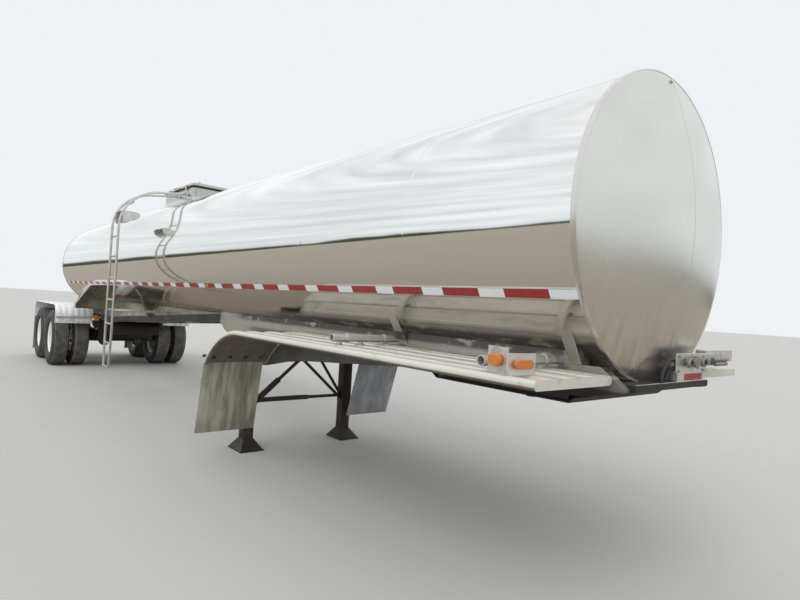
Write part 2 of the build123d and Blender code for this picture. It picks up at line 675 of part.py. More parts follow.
with BuildPart() as gladhands:
    for y in COUPLING_Y:
        with BuildSketch(Plane.YZ.offset(6404)):
            with Locations((y, COUPLING_Z)):
                Circle(28)
        extrude(amount=20)
        with BuildSketch(Plane.YZ.offset(6424)):
            with Locations((y + 18, COUPLING_Z)):
                SlotOverall(96, 56)
        extrude(amount=26)
        with BuildSketch(Plane.YZ.offset(6356)):
            with Locations((y, COUPLING_Z - 12)):
                RectangleRounded(60, 66, 8)
        extrude(amount=39.8)
    with BuildSketch(Plane.YZ.offset(6404)):
        with Locations((190, COUPLING_Z)):
            Circle(34)
    extrude(amount=38)
    with BuildSketch(Plane.YZ.offset(6404)):
        with Locations((470, COUPLING_Z), (560, COUPLING_Z)):
            Circle(24)
    extrude(amount=20)
    with BuildSketch(Plane.YZ.offset(6424)):
        with Locations((510, COUPLING_Z)):
            SlotOverall(210, 54)
    extrude(amount=26)

# Air hoses from the couplings down to the nose box
HOSE_X = 6374.0
HOSES = [
    # way from the coupling (-1 right, 1 left), start y, start z, straight run, bend radius
    (-1, 69.8, COUPLING_Z + 6, 55, 108),
    (-1, 69.8, COUPLING_Z - 28, 4, 62),
    (1, 310.2, COUPLING_Z - 4, 12, 90),
]
with BuildPart() as air_hoses:
    for out, y, z, run, bend in HOSES:
        turn = y + out * run
        with BuildLine(Plane.YZ.offset(HOSE_X)) as path:
            Line((y, z), (turn, z))
            ThreePointArc((turn, z), (turn + 0.7071 * out * bend, z - 0.2929 * bend), (turn + out * bend, z - bend))
            Line((turn + out * bend, z - bend), (turn + out * bend, 1162.2))
        with BuildSketch(Plane(origin=(HOSE_X, y, z), z_dir=(0, out, 0))):
            Circle(8.5)
        sweep(path=path.line)

# Open-ended tubes that carry the front fenders, with collars and saddles
ARM_X = {4640: 1014, 5975: 1071}
ARM_Z = 1245.0
with BuildPart() as fender_arms:
    for x, reach in ARM_X.items():
        for out in (-1, 1):
            with BuildSketch(Plane.XZ.offset(-out * 490.2)):
                with Locations((x, ARM_Z)):
                    Circle(25)
                    Circle(21, mode=Mode.SUBTRACT)
            extrude(amount=-out * (reach - 490.2))
            for y in (560, 880):
                with BuildSketch(Plane.XZ.offset(-out * y)):
                    with Locations((x, ARM_Z)):
                        Circle(30)
                        Circle(24, mode=Mode.SUBTRACT)
                extrude(amount=-out * 22)
            for y in (590, 775, 950):
                with BuildSketch(Plane.XZ.offset(-out * y - 12)):
                    with Locations((x, FENDER_TOP + 11.4)):
                        Rectangle(30, 23.2)
                    with Locations((x, ARM_Z)):
                        Circle(24, mode=Mode.SUBTRACT)
                extrude(amount=24)

# Folded bracket with two lamps at the right fender's front corner
LAMP_PLATES = [
    # rear or outer end, front or inner end, middle height, lamp length, lamp height, plate height
    ((6008, -1060), (6160, -1108), 1262, 96, 56, 122),
    ((6160, -1108), (6176, -925), 1250, 118, 44, 98),
]
with BuildPart() as lamp_bracket:
    for start, end, z, lamp_long, lamp_high, high in LAMP_PLATES:
        with BuildSketch(upright(start, end, FENDER_TOP + 0.3 + high / 2)):
            Rectangle(math.dist(start, end), high)
        extrude(amount=-5)

with BuildPart() as marker_lamps:
    for start, end, z, lamp_long, lamp_high, high in LAMP_PLATES:
        with BuildSketch(upright(start, end, z)):
            SlotOverall(lamp_long, lamp_high)
        extrude(amount=24)
    for out in (-1, 1):
        with BuildSketch(Plane.YZ.offset(-3957)):
            with Locations((out * 560, 925)):
                RectangleRounded(70, 110, 20)
        extrude(amount=24)

# Landing gear: legs, feet, braces and the crank
with BuildPart() as legs:
    for out in (-1, 1):
        with BuildSketch(Plane.XY.offset(400)):
            with Locations((LEG_X, out * LEG_Y)):
                RectangleRounded(114, 114, 12)
        extrude(amount=650)
        with BuildSketch(Plane.XY.offset(100)):
            with Locations((LEG_X, out * LEG_Y)):
                RectangleRounded(108, 108, 10)
        extrude(amount=300)

    for out in (-1, 1):
        with BuildSketch(Plane.XY):
            with Locations((LEG_X + 15, out * LEG_Y)):
                Rectangle(290, 240)
        extrude(amount=12)
        with BuildSketch(Plane.XY.offset(12)):
            with Locations((LEG_X + 15, out * LEG_Y)):
                Rectangle(280, 230)
        with BuildSketch(Plane.XY.offset(104)):
            with Locations((LEG_X, out * LEG_Y)):
                Rectangle(112, 112)
        loft()

BRACES = [
    # start (y, z), end (y, z), width
    ((0, 880), (-514, 440), 26),
    ((0, 880), (514, 440), 26),
    ((-250, 666), (-514, 440), 44),
    ((-514, 468), (514, 468), 30),
    ((-514, 468), (100, 468), 42),
    ((243, 850), (514, 480), 24),
]
with BuildPart() as leg_braces:
    with BuildSketch(Plane.YZ.offset(LEG_X - 40)):
        with Locations((0, 887)):
            Rectangle(1027, 80)
    extrude(amount=80)
    for (y1, z1), (y2, z2), wide in BRACES:
        with BuildSketch(aim((LEG_X, y1, z1), (LEG_X, y2, z2))):
            Rectangle(wide, wide)
        extrude(amount=math.dist((y1, z1), (y2, z2)))
    with BuildSketch(Plane.YZ.offset(LEG_X - 100)):
        with BuildLine():
            Polyline((-513.8, 300), (513.8, 300), (513.8, 825), (429.8, 825), (429.8, 1000), (-429.8, 1000),
                     (-429.8, 825), (-513.8, 825), close=True)
        make_face()
    extrude(amount=200, mode=Mode.INTERSECT)

with BuildPart() as crank:
    with BuildSketch(Plane.XZ.offset(LEG_Y + 57)):
        with Locations((LEG_X, 760)):
            Rectangle(120, 200)
    extrude(amount=60)
    with BuildSketch(Plane.XZ.offset(LEG_Y + 117)):
        with Locations((LEG_X, 800)):
            Circle(14)
    extrude(amount=180)
    with BuildSketch(Plane.XZ.offset(LEG_Y + 277)):
        with Locations((LEG_X, 700)):
            Rectangle(26, 226)
    extrude(amount=20)
    with BuildSketch(Plane.XZ.offset(LEG_Y + 297)):
        with Locations((LEG_X, 600)):
            Circle(12)
    extrude(amount=110)

# Air tanks hung crosswise between the rails
with BuildPart() as air_tanks:
    for x in (-3420, -3720):
        with BuildSketch(Plane.XZ.offset(-400)):
            with Locations((x, 774)):
                Circle(120)
        extrude(amount=800)
        for y in (-FRAME_Y, FRAME_Y):
            with BuildSketch(Plane.XZ.offset(-y - 40)):
                with Locations((x, 819.9)):
                    Rectangle(60, 160)
            extrude(amount=80)

# Outlet: pipe, valve body, handle and open ferrule under the rear head
OUTLET_Z = 1000.0
with BuildPart() as outlet:
    with BuildSketch(Plane.YZ.offset(-6440)):
        with Locations((0, OUTLET_Z)):
            Circle(50)
    extrude(amount=640)
    with BuildSketch(Plane.XY.offset(OUTLET_Z)):
        with Locations((-5830, 0)):
            Circle(50)
    extrude(amount=220)
    with BuildSketch(Plane.YZ.offset(-6445)):
        with Locations((0, OUTLET_Z)):
            Circle(60)
    extrude(amount=14)
    with BuildSketch(Plane.YZ.offset(-6330)):
        with Locations((0, OUTLET_Z)):
            Circle(78)
    extrude(amount=60)
    with BuildSketch(Plane.YZ.offset(-6445)):
        with Locations((0, OUTLET_Z)):
            Circle(38)
    extrude(amount=90, mode=Mode.SUBTRACT)
    with BuildSketch(Plane.YZ.offset(REAR_RIM - 10)):
        with Locations((0, BARREL_Z)):
            Circle(BARREL_R + 0.3)
    extrude(amount=300, mode=Mode.SUBTRACT)

# Rear bumper and lamp panel
with BuildPart() as bumper:
    with BuildSketch(Plane.YZ.offset(-6450)):
        with Locations((0, 500)):
            RectangleRounded(2000, 100, 12)
    extrude(amount=26)
    for y in (-FRAME_Y, FRAME_Y):
        with BuildSketch(Plane.YZ.offset(-6450)):
            with Locations((y, 690)):
                Rectangle(70, 480)
        extrude(amount=30)

    for out in (-1, 1):
        with BuildSketch(Plane.YZ.offset(-6428)):
            with Locations((out * 760, 1020)):
                RectangleRounded(560, 140, 20)
            with Locations((out * 450, 1010)):
                Rectangle(120, 100)
        extrude(amount=8)

with BuildPart() as tail_lamps:
    with BuildSketch(Plane.YZ.offset(-6448)):
        for y in (-920, -760, -600, 600, 760, 920):
            with Locations((y, 1020)):
                Circle(52)
    extrude(amount=20)

KEPT = {
    "tank_barrel": tank_barrel, "head_front": head_front, "head_rear": head_rear,
    "manhole_housing": manhole_housing, "housing_lid": housing_lid, "manway_neck": manway_neck,
    "manway_cover": manway_cover, "ladder": ladder, "ladder_drop": ladder_drop,
    "frame_rails": frame_rails, "bolsters": bolsters, "spring_hangers": spring_hangers,
    "leaf_springs": leaf_springs, "axle_front": axle_front, "axle_rear": axle_rear,
    "fender_poles": fender_poles, "rear_flaps": rear_flaps, "front_flaps": front_flaps,
    "front_frame": front_frame, "coupler_box": coupler_box, "coupler_plate": coupler_plate,
    "king_pin": king_pin, "front_cradle": front_cradle, "nose_box": nose_box,
    "gladhand_bracket": gladhand_bracket, "gladhands": gladhands, "air_hoses": air_hoses,
    "fender_arms": fender_arms, "lamp_bracket": lamp_bracket, "marker_lamps": marker_lamps, "legs": legs,
    "leg_braces": leg_braces, "crank": crank, "air_tanks": air_tanks, "outlet": outlet, "bumper": bumper,
    "tail_lamps": tail_lamps,
}
for label, piece in KEPT.items():
    PIECES[label] = piece.part
for label, shape in PIECES.items():
    shape.label = label
    export_step(shape, f"parts/{label}.step")
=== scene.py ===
"""Looks of the tank semi-trailer: finishes, seams, tape, tyres, fastenings, light and camera.

Metres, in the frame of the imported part: +X is the front, +Z up and -Y the kerb side.
"""
import json
import math

import bmesh
import bpy
from mathutils import Matrix, Vector

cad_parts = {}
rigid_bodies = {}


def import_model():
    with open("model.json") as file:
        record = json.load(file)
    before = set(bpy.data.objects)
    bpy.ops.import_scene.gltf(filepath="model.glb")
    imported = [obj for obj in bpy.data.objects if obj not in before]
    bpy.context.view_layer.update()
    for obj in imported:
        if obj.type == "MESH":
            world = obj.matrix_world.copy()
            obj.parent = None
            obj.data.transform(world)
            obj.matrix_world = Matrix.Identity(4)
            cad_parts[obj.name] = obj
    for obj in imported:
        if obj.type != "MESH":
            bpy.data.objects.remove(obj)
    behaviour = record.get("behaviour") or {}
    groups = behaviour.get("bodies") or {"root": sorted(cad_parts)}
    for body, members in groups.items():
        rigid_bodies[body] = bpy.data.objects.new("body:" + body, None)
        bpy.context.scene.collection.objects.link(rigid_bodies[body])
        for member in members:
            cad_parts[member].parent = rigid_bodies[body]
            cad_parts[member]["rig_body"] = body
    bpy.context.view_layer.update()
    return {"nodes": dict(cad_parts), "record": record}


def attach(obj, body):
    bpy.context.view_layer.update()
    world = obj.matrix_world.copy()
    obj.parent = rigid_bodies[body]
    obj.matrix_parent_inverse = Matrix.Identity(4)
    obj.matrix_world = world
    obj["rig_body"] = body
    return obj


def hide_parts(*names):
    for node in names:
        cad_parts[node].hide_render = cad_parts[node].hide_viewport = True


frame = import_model()
scene = bpy.context.scene

# Sizes that the CAD source also has
BARREL_R = 0.842
BARREL_Z = 1.987
FRONT_RIM = 6.280
REAR_RIM = -5.910
RIM_BAND = 0.022
SHEET = 1.2192
FIRST_SEAM = FRONT_RIM - 10 * SHEET + 0.02
SEAM_CLEAR = 0.05
SEAM_HIGH = 0.0003
DISH_R = BARREL_R - 0.008
DISH_DEPTH = 0.130
DISH_EDGE = 0.010
DISH_RINGS = 26
AXLE_X = {"front": -4.580, "rear": -5.825}
TYRE_R = 0.512
DUAL_Y = 0.908
DUAL_HALF = 0.165
FRAME_Y = 0.440
FENDER_TOP = 1.200
LEG_X = 2.588
LEG_Y = 0.571
HOUSE_X = -0.720
HOUSE_L = 1.200
HOUSE_W = 0.560
HOUSE_TOP = 2.990
OUTLET_Z = 1.000
SIDES = {"right": -1, "left": 1}

# Camera, fitted to the photograph
CAMERA_AT = (7.7052, -3.0624, 1.4657)
CAMERA_RIGHT = Vector((0.64848719, 0.75866674, 0.062363))
CAMERA_UP = Vector((-0.02949282, -0.05682251, 0.99794858))
CAMERA_FORWARD = Vector((-0.76065402, 0.64899613, 0.01447345))
LENS = 25.19


def set_view():
    """The camera at the photograph's place."""
    data = bpy.data.cameras.new("view")
    data.sensor_width = 36
    data.lens = LENS
    data.clip_start = 0.05
    data.clip_end = 500
    camera = bpy.data.objects.new("view", data)
    scene.collection.objects.link(camera)
    turn = Matrix((CAMERA_RIGHT, CAMERA_UP, -CAMERA_FORWARD)).transposed().to_4x4()
    camera.matrix_world = Matrix.Translation(CAMERA_AT) @ turn
    scene.camera = camera


def add_node(tree, kind, inputs, **settings):
    """A shader node with its settings and inputs, which are values or other nodes' outputs."""
    made = tree.nodes.new(kind)
    for key, value in settings.items():
        setattr(made, key, value)
    for key, value in inputs.items():
        if isinstance(value, bpy.types.NodeSocket):
            tree.links.new(value, made.inputs[key])
        elif made.inputs[key].type == "RGBA":
            made.inputs[key].default_value = (*value, 1)
        else:
            made.inputs[key].default_value = value
    return made


class Finish:
    """A material whose colour, gloss and relief follow patterns on Object coordinates."""

    def __init__(self, name, colour, metallic=0.0, roughness=0.5, **sockets):
        self.base = colour
        self.material = bpy.data.materials.new(name)
        self.material.use_nodes = True
        self.tree = self.material.node_tree
        self.shader = self.tree.nodes["Principled BSDF"]
        self.place = self.tree.nodes.new("ShaderNodeTexCoord").outputs["Object"]
        self.normal = None
        self.shader.inputs["Base Color"].default_value = (*colour, 1)
        self.shader.inputs["Metallic"].default_value = metallic
        self.shader.inputs["Roughness"].default_value = roughness
        for socket, value in sockets.items():
            self.shader.inputs[socket.replace("_", " ")].default_value = value

    def node(self, kind, inputs, **settings):
        return add_node(self.tree, kind, inputs, **settings)

    def spread(self, stretch):
        inputs = {"Vector": self.place, "Scale": stretch}
        return self.node("ShaderNodeMapping", inputs).outputs["Vector"]

    def noise(self, scale, detail=3.0, stretch=(1, 1, 1), distortion=0.0):
        inputs = {"Vector": self.spread(stretch), "Scale": scale, "Detail": detail,
                  "Distortion": distortion}
        return self.node("ShaderNodeTexNoise", inputs).outputs["Fac"]

    def cells(self, scale, feature="F1"):
        inputs = {"Vector": self.spread((1, 1, 1)), "Scale": scale}
        return self.node("ShaderNodeTexVoronoi", inputs, feature=feature).outputs["Distance"]

    def step(self, value, low, high):
        """0 at low and 1 at high, smooth between."""
        return self.node("ShaderNodeMapRange", {"Value": value, "From Min": low, "From Max": high},
                         interpolation_type="SMOOTHSTEP").outputs["Result"]

    def underside(self, low=0.1, high=0.9):
        """1 on faces that look down."""
        down = self.node("ShaderNodeAttribute", {}, attribute_name="down").outputs["Fac"]
        return self.step(down, low, high)

    def along(self, axis, low, high):
        """0 where the coordinate is low and 1 where it is high."""
        parts = self.node("ShaderNodeSeparateXYZ", {"Vector": self.place})
        return self.step(parts.outputs[axis], low, high)

    def times(self, first, second):
        return self.node("ShaderNodeMath", {0: first, 1: second}, operation="MULTIPLY").outputs[0]

    def most(self, first, second):
        return self.node("ShaderNodeMath", {0: first, 1: second}, operation="MAXIMUM").outputs[0]

    def tint(self, factor, first, second):
        """From one colour to another; the mix node has its colours at inputs 6 and 7."""
        inputs = {0: factor, 6: first, 7: second}
        return self.node("ShaderNodeMix", inputs, data_type="RGBA").outputs[2]

    def level(self, factor, first, second):
        """From one number to another; the mix node has its numbers at inputs 2 and 3."""
        inputs = {0: factor, 2: first, 3: second}
        return self.node("ShaderNodeMix", inputs, data_type="FLOAT").outputs[0]

    def colour(self, socket):
        self.tree.links.new(socket, self.shader.inputs["Base Color"])

    def gloss(self, socket):
        self.tree.links.new(socket, self.shader.inputs["Roughness"])

    def metal(self, socket):
        self.tree.links.new(socket, self.shader.inputs["Metallic"])

    def wear(self, pattern, colours, roughness):
        """Colour and gloss that follow one pattern together."""
        self.colour(self.tint(pattern, *colours))
        self.gloss(self.level(pattern, *roughness))

    def relief(self, height, depth):
        """Adds bumps as deep as depth to those already there."""
        inputs = {"Height": height, "Distance": depth, "Strength": 1.0}
        if self.normal is not None:
            inputs["Normal"] = self.normal
        self.normal = self.node("ShaderNodeBump", inputs).outputs["Normal"]
        self.tree.links.new(self.normal, self.shader.inputs["Normal"])


FINISHES = {}


def add_finish(colour, metallic, roughness, name=None, **sockets):
    """Makes a finish by the recipe that follows, under its own name or the recipe's."""
    def make(recipe):
        f = Finish(name or recipe.__name__, colour, metallic, roughness, **sockets)
        recipe(f)
        FINISHES[name or recipe.__name__] = f.material
        return recipe
    return make


@add_finish((0.80, 0.80, 0.79), 1.0, 0.05)
def polished_steel(f):
    haze = f.noise(1.3, 4.0, (0.4, 1, 1))
    film = f.times(f.along("Z", 1.75, 1.2), f.noise(7, 5.0, (0.3, 1, 1)))
    # belly: a mottled near-black band along the barrel's bottom below z 1.34, stronger ahead of x
    # 3.6: partly road grime, partly a painted dark reflection of the shaded parts under the barrel
    belly = f.times(f.along("Z", 1.395, 1.335), f.step(f.noise(15, 7.0, (0.4, 1, 1)), 0.2, 0.5))
    belly = f.times(belly, f.level(f.along("X", 2.6, 3.6), 0.35, 1.0))
    # Below the tape the steel is darker and browner: partly road film, partly painted darkening of
    # what the barrel mirrors there
    below_tape = f.along("Z", 1.60, 1.54)
    shine = f.tint(film, (0.80, 0.80, 0.79), (0.66, 0.64, 0.60))
    shine = f.tint(below_tape, shine, (0.56, 0.53, 0.475))
    f.colour(f.tint(belly, shine, (0.075, 0.064, 0.055)))
    f.metal(f.level(belly, 1.0, 0.4))
    dull = f.most(f.level(haze, 0.03, 0.075), f.level(film, 0.03, 0.34))
    f.gloss(f.most(f.level(belly, 0.0, 0.6), dull))
    f.relief(f.noise(1.6, 1.0, (0.4, 1, 1)), 0.0012)
    f.relief(f.noise(110, 2.0, (0.015, 1, 1)), 0.00002)


@add_finish((0.63, 0.62, 0.59), 1.0, 0.28)
def satin_steel(f):
    blotch = f.noise(2.4, 5.0, (1, 1, 1), 0.6)
    streak = f.times(f.noise(16, 4.0, (1, 1, 0.07)), f.along("Z", 2.1, 1.2))
    specks = f.times(f.step(f.cells(52), 0.10, 0.05), f.step(f.noise(5, 3.0), 0.45, 0.6))
    grime = f.most(f.times(specks, 0.6), f.times(f.step(streak, 0.36, 0.70), 0.5))
    base = f.tint(blotch, (0.64, 0.625, 0.59), (0.72, 0.71, 0.685))
    # The housing, above z 2.85, is painted in a darker colour: painted shade on the housing
    housing = f.tint(blotch, (0.44, 0.43, 0.41), (0.58, 0.575, 0.56))
    base = f.tint(f.along("Z", 2.834, 2.85), base, housing)
    # A near-black band painted round the housing just under its top edge, where the lid sits:
    # painted shade of the gap under the lid
    lid_gap_shade = f.times(f.along("Z", HOUSE_TOP - 0.024, HOUSE_TOP - 0.020),
                  f.along("Z", HOUSE_TOP + 0.005, HOUSE_TOP + 0.003))
    f.colour(f.tint(lid_gap_shade, f.tint(grime, base, (0.44, 0.42, 0.38)), (0.045, 0.045, 0.043)))
    f.gloss(f.most(f.level(grime, f.level(blotch, 0.22, 0.32), 0.5), f.times(lid_gap_shade, 0.7)))
    f.relief(f.noise(240, 2.0, (1, 1, 0.03)), 0.00005)
    f.relief(f.noise(3.0, 2.0), 0.0012)


@add_finish((0.58, 0.57, 0.54), 1.0, 0.36)
def frame_steel(f):
    film = f.noise(4, 6.0, (0.5, 1, 1), 0.8)
    spatter = f.step(f.noise(46, 4.0), 0.60, 0.72)
    # A mottled near-black band, z 1.26 to 1.30, along the front frame from x 2.3 to 6.0 where its
    # sides meet the barrel: partly road grime, partly painted shade of the crease under the barrel
    grime_and_shade_band = f.times(f.along("Z", 1.225, 1.262), f.along("Z", 1.312, 1.303))
    grime_and_shade_band = f.times(grime_and_shade_band, f.times(f.along("X", 1.7, 2.3), f.along("X", 6.08, 6.02)))
    grime_and_shade_band = f.times(grime_and_shade_band, f.step(f.noise(17, 6.0, (0.5, 1, 1)), 0.22, 0.46))
    # nose: near black on the front frame ahead of x 5.2 and below z 1.12: painted shade under the
    # front fenders' ends, with some grime
    nose = f.times(f.along("X", 5.02, 5.2), f.along("Z", 1.150, 1.120))
    dirt_and_underside_shade = f.most(f.step(film, 0.45, 0.85), f.times(spatter, 0.2))
    # Faces that look down take the soil colour too: partly road grime, partly painted shade
    dirt_and_underside_shade = f.most(dirt_and_underside_shade, f.times(f.underside(), 0.7))
    ahead = f.along("X", 1.4, 1.8)
    smears = f.step(f.noise(1.9, 3.0, (0.6, 1, 1.6), 0.9), 0.38, 0.64)
    rear = f.tint(smears, (0.44, 0.425, 0.395), (0.235, 0.22, 0.195))
    soil_and_shade = f.tint(ahead, (0.13, 0.118, 0.10), (0.24, 0.215, 0.185))
    base = f.tint(dirt_and_underside_shade, f.tint(ahead, rear, (0.60, 0.59, 0.565)), soil_and_shade)
    shade = f.times(f.along("X", 2.05, 2.50), f.along("Z", 1.205, 1.175))
    shade = f.times(shade, f.level(f.noise(6, 5.0, (0.5, 1, 1)), 0.65, 0.95))
    dark = f.most(f.times(grime_and_shade_band, 0.9), f.most(nose, shade))
    f.colour(f.tint(dark, base, (0.040, 0.035, 0.031)))
    f.gloss(f.most(f.level(dirt_and_underside_shade, 0.20, 0.6), f.times(dark, 0.75)))
    f.metal(f.level(dark, f.level(dirt_and_underside_shade, 1.0, 0.6), 0.1))
    f.relief(f.times(grime_and_shade_band, f.noise(120, 4.0)), 0.0008)
    f.relief(f.noise(90, 3.0, (0.2, 1, 1)), 0.00006)


def rusty_paint(f, rust_from, rust):
    """Dark paint under dust, with rust where the pattern is above rust_from."""
    patches = f.step(f.noise(9, 8.0, (1, 1, 0.35), 0.5), rust_from, rust_from + 0.10)
    dust = f.step(f.noise(3.2, 4.0), 0.4, 0.8)
    worn = f.tint(f.times(dust, 0.3), f.base, (0.085, 0.075, 0.066))
    f.colour(f.tint(patches, worn, f.tint(f.noise(50, 4.0), (0.09, 0.045, 0.028), rust)))
    f.gloss(f.level(patches, f.level(dust, 0.42, 0.8), 0.92))
    f.relief(f.level(patches, 0.0, f.noise(120, 4.0)), 0.0006)
    f.relief(f.noise(34, 3.0), 0.0003)


@add_finish((0.022, 0.021, 0.020), 0.0, 0.5, Specular_IOR_Level=0.28)
def dark_steel(f):
    rusty_paint(f, 0.64, (0.11, 0.058, 0.034))


@add_finish((0.028, 0.024, 0.022), 0.0, 0.5, Specular_IOR_Level=0.28)
def leg_rust(f):
    rusty_paint(f, 0.55, (0.085, 0.048, 0.032))


@add_finish((0.66, 0.64, 0.58), 0.25, 0.5)
def fender_white(f):
    run = f.noise(6, 5.0, (0.12, 1, 1))
    grime = f.step(f.noise(9, 7.0, (0.35, 1, 1), 0.7), 0.52, 0.74)
    # Faces that look down are painted dark brown: partly mud, partly painted shade
    below = f.underside(0.05, 0.5)
    paint = f.tint(run, (0.57, 0.55, 0.49), (0.71, 0.69, 0.64))
    skin = f.tint(f.times(grime, 0.55), paint, (0.30, 0.28, 0.24))
    mud = f.tint(f.noise(14, 6.0), (0.10, 0.088, 0.070), (0.22, 0.20, 0.165))
    f.colour(f.tint(below, skin, mud))
    f.gloss(f.most(f.level(grime, f.level(run, 0.36, 0.55), 0.8), f.times(below, 0.85)))
    f.relief(f.noise(180, 2.0, (0.05, 1, 1)), 0.00006)
    f.relief(f.noise(4, 3.0), 0.0012)


@add_finish((0.66, 0.65, 0.61), 0.6, 0.5)
def arm_zinc(f):
    bloom = f.noise(24, 5.0, (1, 1, 1), 0.4)
    skin = f.tint(bloom, (0.56, 0.55, 0.51), (0.76, 0.75, 0.71))
    # Faces that look down are painted darker: partly road grime, partly painted shade
    f.colour(f.tint(f.underside(0.3, 0.95), skin, (0.24, 0.225, 0.20)))
    f.gloss(f.level(bloom, 0.6, 0.42))
    f.relief(f.noise(120, 3.0), 0.0001)


@add_finish((0.84, 0.85, 0.86), 0.0, 0.35, Coat_Weight=0.3)
def rear_fender_white(f):
    splash = f.step(f.times(f.noise(14, 6.0), f.along("Z", 1.2, 0.8)), 0.40, 0.62)
    f.wear(splash, ((0.86, 0.87, 0.88), (0.60, 0.58, 0.54)), (0.32, 0.8))
    f.relief(f.noise(6, 3.0), 0.0008)


@add_finish((0.66, 0.66, 0.64), 1.0, 0.4)
def ladder_metal(f):
    f.wear(f.noise(12, 5.0), ((0.52, 0.51, 0.48), (0.76, 0.76, 0.74)), (0.5, 0.3))
    f.relief(f.noise(160, 2.0, (1, 1, 0.2)), 0.0001)


@add_finish((0.40, 0.39, 0.34), 0.0, 0.6)
def flap_grey(f):
    runs = f.step(f.noise(16, 6.0, (1, 1, 0.05)), 0.3, 0.7)
    mud = f.step(f.noise(8, 5.0), 0.62, 0.76)
    low = f.along("Z", 0.42, 0.2)
    near = f.tint(runs, (0.20, 0.185, 0.14), (0.46, 0.44, 0.36))
    far = f.tint(runs, (0.24, 0.245, 0.26), (0.38, 0.385, 0.41))
    base = f.tint(f.along("Y", -0.1, 0.1), near, far)
    f.colour(f.tint(f.most(f.times(mud, 0.6), f.times(low, 0.35)), base, (0.16, 0.14, 0.12)))
    f.gloss(f.level(runs, 0.5, 0.75))
    f.relief(f.noise(5, 3.0, (1, 1, 0.3)), 0.003)


@add_finish((0.03, 0.03, 0.03), 0.0, 0.75)
def tyre_black(f):
    tread = f.node("ShaderNodeAttribute", {}, attribute_name="tread").outputs["Fac"]
    dust = f.step(f.noise(10, 5.0), 0.3, 0.75)
    worn = f.tint(dust, (0.07, 0.068, 0.065), (0.16, 0.15, 0.14))
    wall = f.tint(f.times(dust, 0.4), (0.022, 0.022, 0.023), (0.10, 0.095, 0.09))
    groove = f.step(tread, 0.0, 0.45)
    f.colour(f.tint(f.step(tread, 0.55, 0.95), f.tint(groove, wall, (0.30, 0.28, 0.24)), worn))
    f.gloss(f.level(groove, 0.55, 0.9))
    f.relief(f.noise(90, 4.0), 0.0004)


@add_finish((0.90, 0.90, 0.89), 0.0, 0.38, Coat_Weight=0.2)
def rim_white(f):
    grime = f.step(f.noise(9, 6.0, (1, 1, 1), 0.6), 0.55, 0.8)
    f.colour(f.tint(f.times(grime, 0.4), (0.90, 0.90, 0.90), (0.50, 0.45, 0.38)))
    f.gloss(f.level(grime, 0.34, 0.7))
    f.relief(f.noise(40, 3.0), 0.0003)


@add_finish((0.10, 0.095, 0.09), 0.35, 0.6)
def hub_dark(f):
    crust = f.step(f.noise(22, 6.0), 0.45, 0.7)
    f.wear(crust, ((0.07, 0.066, 0.062), (0.17, 0.10, 0.06)), (0.45, 0.9))
    f.relief(f.noise(70, 4.0), 0.0006)


GLOSSY = {"Coat_Weight": 0.8, "Coat_Roughness": 0.05, "Transmission_Weight": 0.25}


@add_finish((0.62, 0.012, 0.010), 0.0, 0.16, "lamp_red", **GLOSSY)
@add_finish((0.90, 0.26, 0.012), 0.0, 0.16, "lamp_amber", **GLOSSY)
def lens(f):
    ribs = f.node("ShaderNodeTexWave", {"Vector": f.place, "Scale": 60.0, "Distortion": 0.0},
                  bands_direction="DIAGONAL").outputs["Fac"]
    f.colour(f.tint(ribs, tuple(part * 0.6 for part in f.base), f.base))
    f.relief(ribs, 0.0006)


@add_finish((0.70, 0.69, 0.66), 0.85, 0.42)
def bracket_alu(f):
    stain = f.step(f.noise(10, 6.0, (1, 1, 1), 0.5), 0.45, 0.75)
    f.wear(stain, ((0.74, 0.73, 0.70), (0.46, 0.44, 0.40)), (0.36, 0.65))
    f.relief(f.noise(200, 2.0, (0.1, 1, 1)), 0.00008)


@add_finish((0.30, 0.30, 0.29), 0.9, 0.5)
def coupling_grey(f):
    f.wear(f.noise(40, 5.0), ((0.16, 0.155, 0.15), (0.50, 0.50, 0.48)), (0.62, 0.35))
    f.relief(f.noise(130, 4.0), 0.0004)


@add_finish((0.02, 0.02, 0.023), 0.0, 0.5)
def hose_black(f):
    f.wear(f.noise(35, 4.0), ((0.012, 0.012, 0.016), (0.05, 0.05, 0.055)), (0.4, 0.7))
    f.relief(f.noise(300, 2.0), 0.0002)


@add_finish((0.74, 0.75, 0.76), 0.0, 0.35, "tape_white", Coat_Weight=0.15)
@add_finish((0.30, 0.004, 0.008), 0.0, 0.35, "tape_red", Coat_Weight=0.15)
def tape(f):
    honeycomb = f.step(f.cells(190, feature="DISTANCE_TO_EDGE"), 0.0, 0.12)
    fade = f.noise(6, 4.0)
    pale = tuple(min(1.0, part * 1.18 + 0.02) for part in f.base)
    faded = tuple(part * 0.88 for part in f.base)
    f.colour(f.tint(honeycomb, pale, f.tint(fade, f.base, faded)))
    f.relief(honeycomb, 0.0001)


@add_finish((0.60, 0.59, 0.56), 1.0, 0.42)
def bolt_zinc(f):
    f.wear(f.noise(60, 4.0), ((0.34, 0.31, 0.27), (0.66, 0.65, 0.62)), (0.6, 0.34))


@add_finish((0.55, 0.54, 0.51), 1.0, 0.36)
def weld_bead(f):
    ripple = f.noise(260, 2.0)
    f.colour(f.tint(ripple, (0.46, 0.45, 0.42), (0.66, 0.65, 0.62)))
    f.relief(ripple, 0.0003)


@add_finish((0.018, 0.018, 0.018), 0.0, 0.6)
def seal_rubber(f):
    bloom = f.noise(30, 4.0)
    f.colour(f.tint(bloom, (0.014, 0.014, 0.014), (0.06, 0.058, 0.055)))
    f.relief(f.noise(150, 2.0), 0.0002)


# Finishes of pieces that stand for nodes of another slot
NODE_SLOT = {row["node"]: row["material_slot"] for row in frame["record"]["subparts"]}


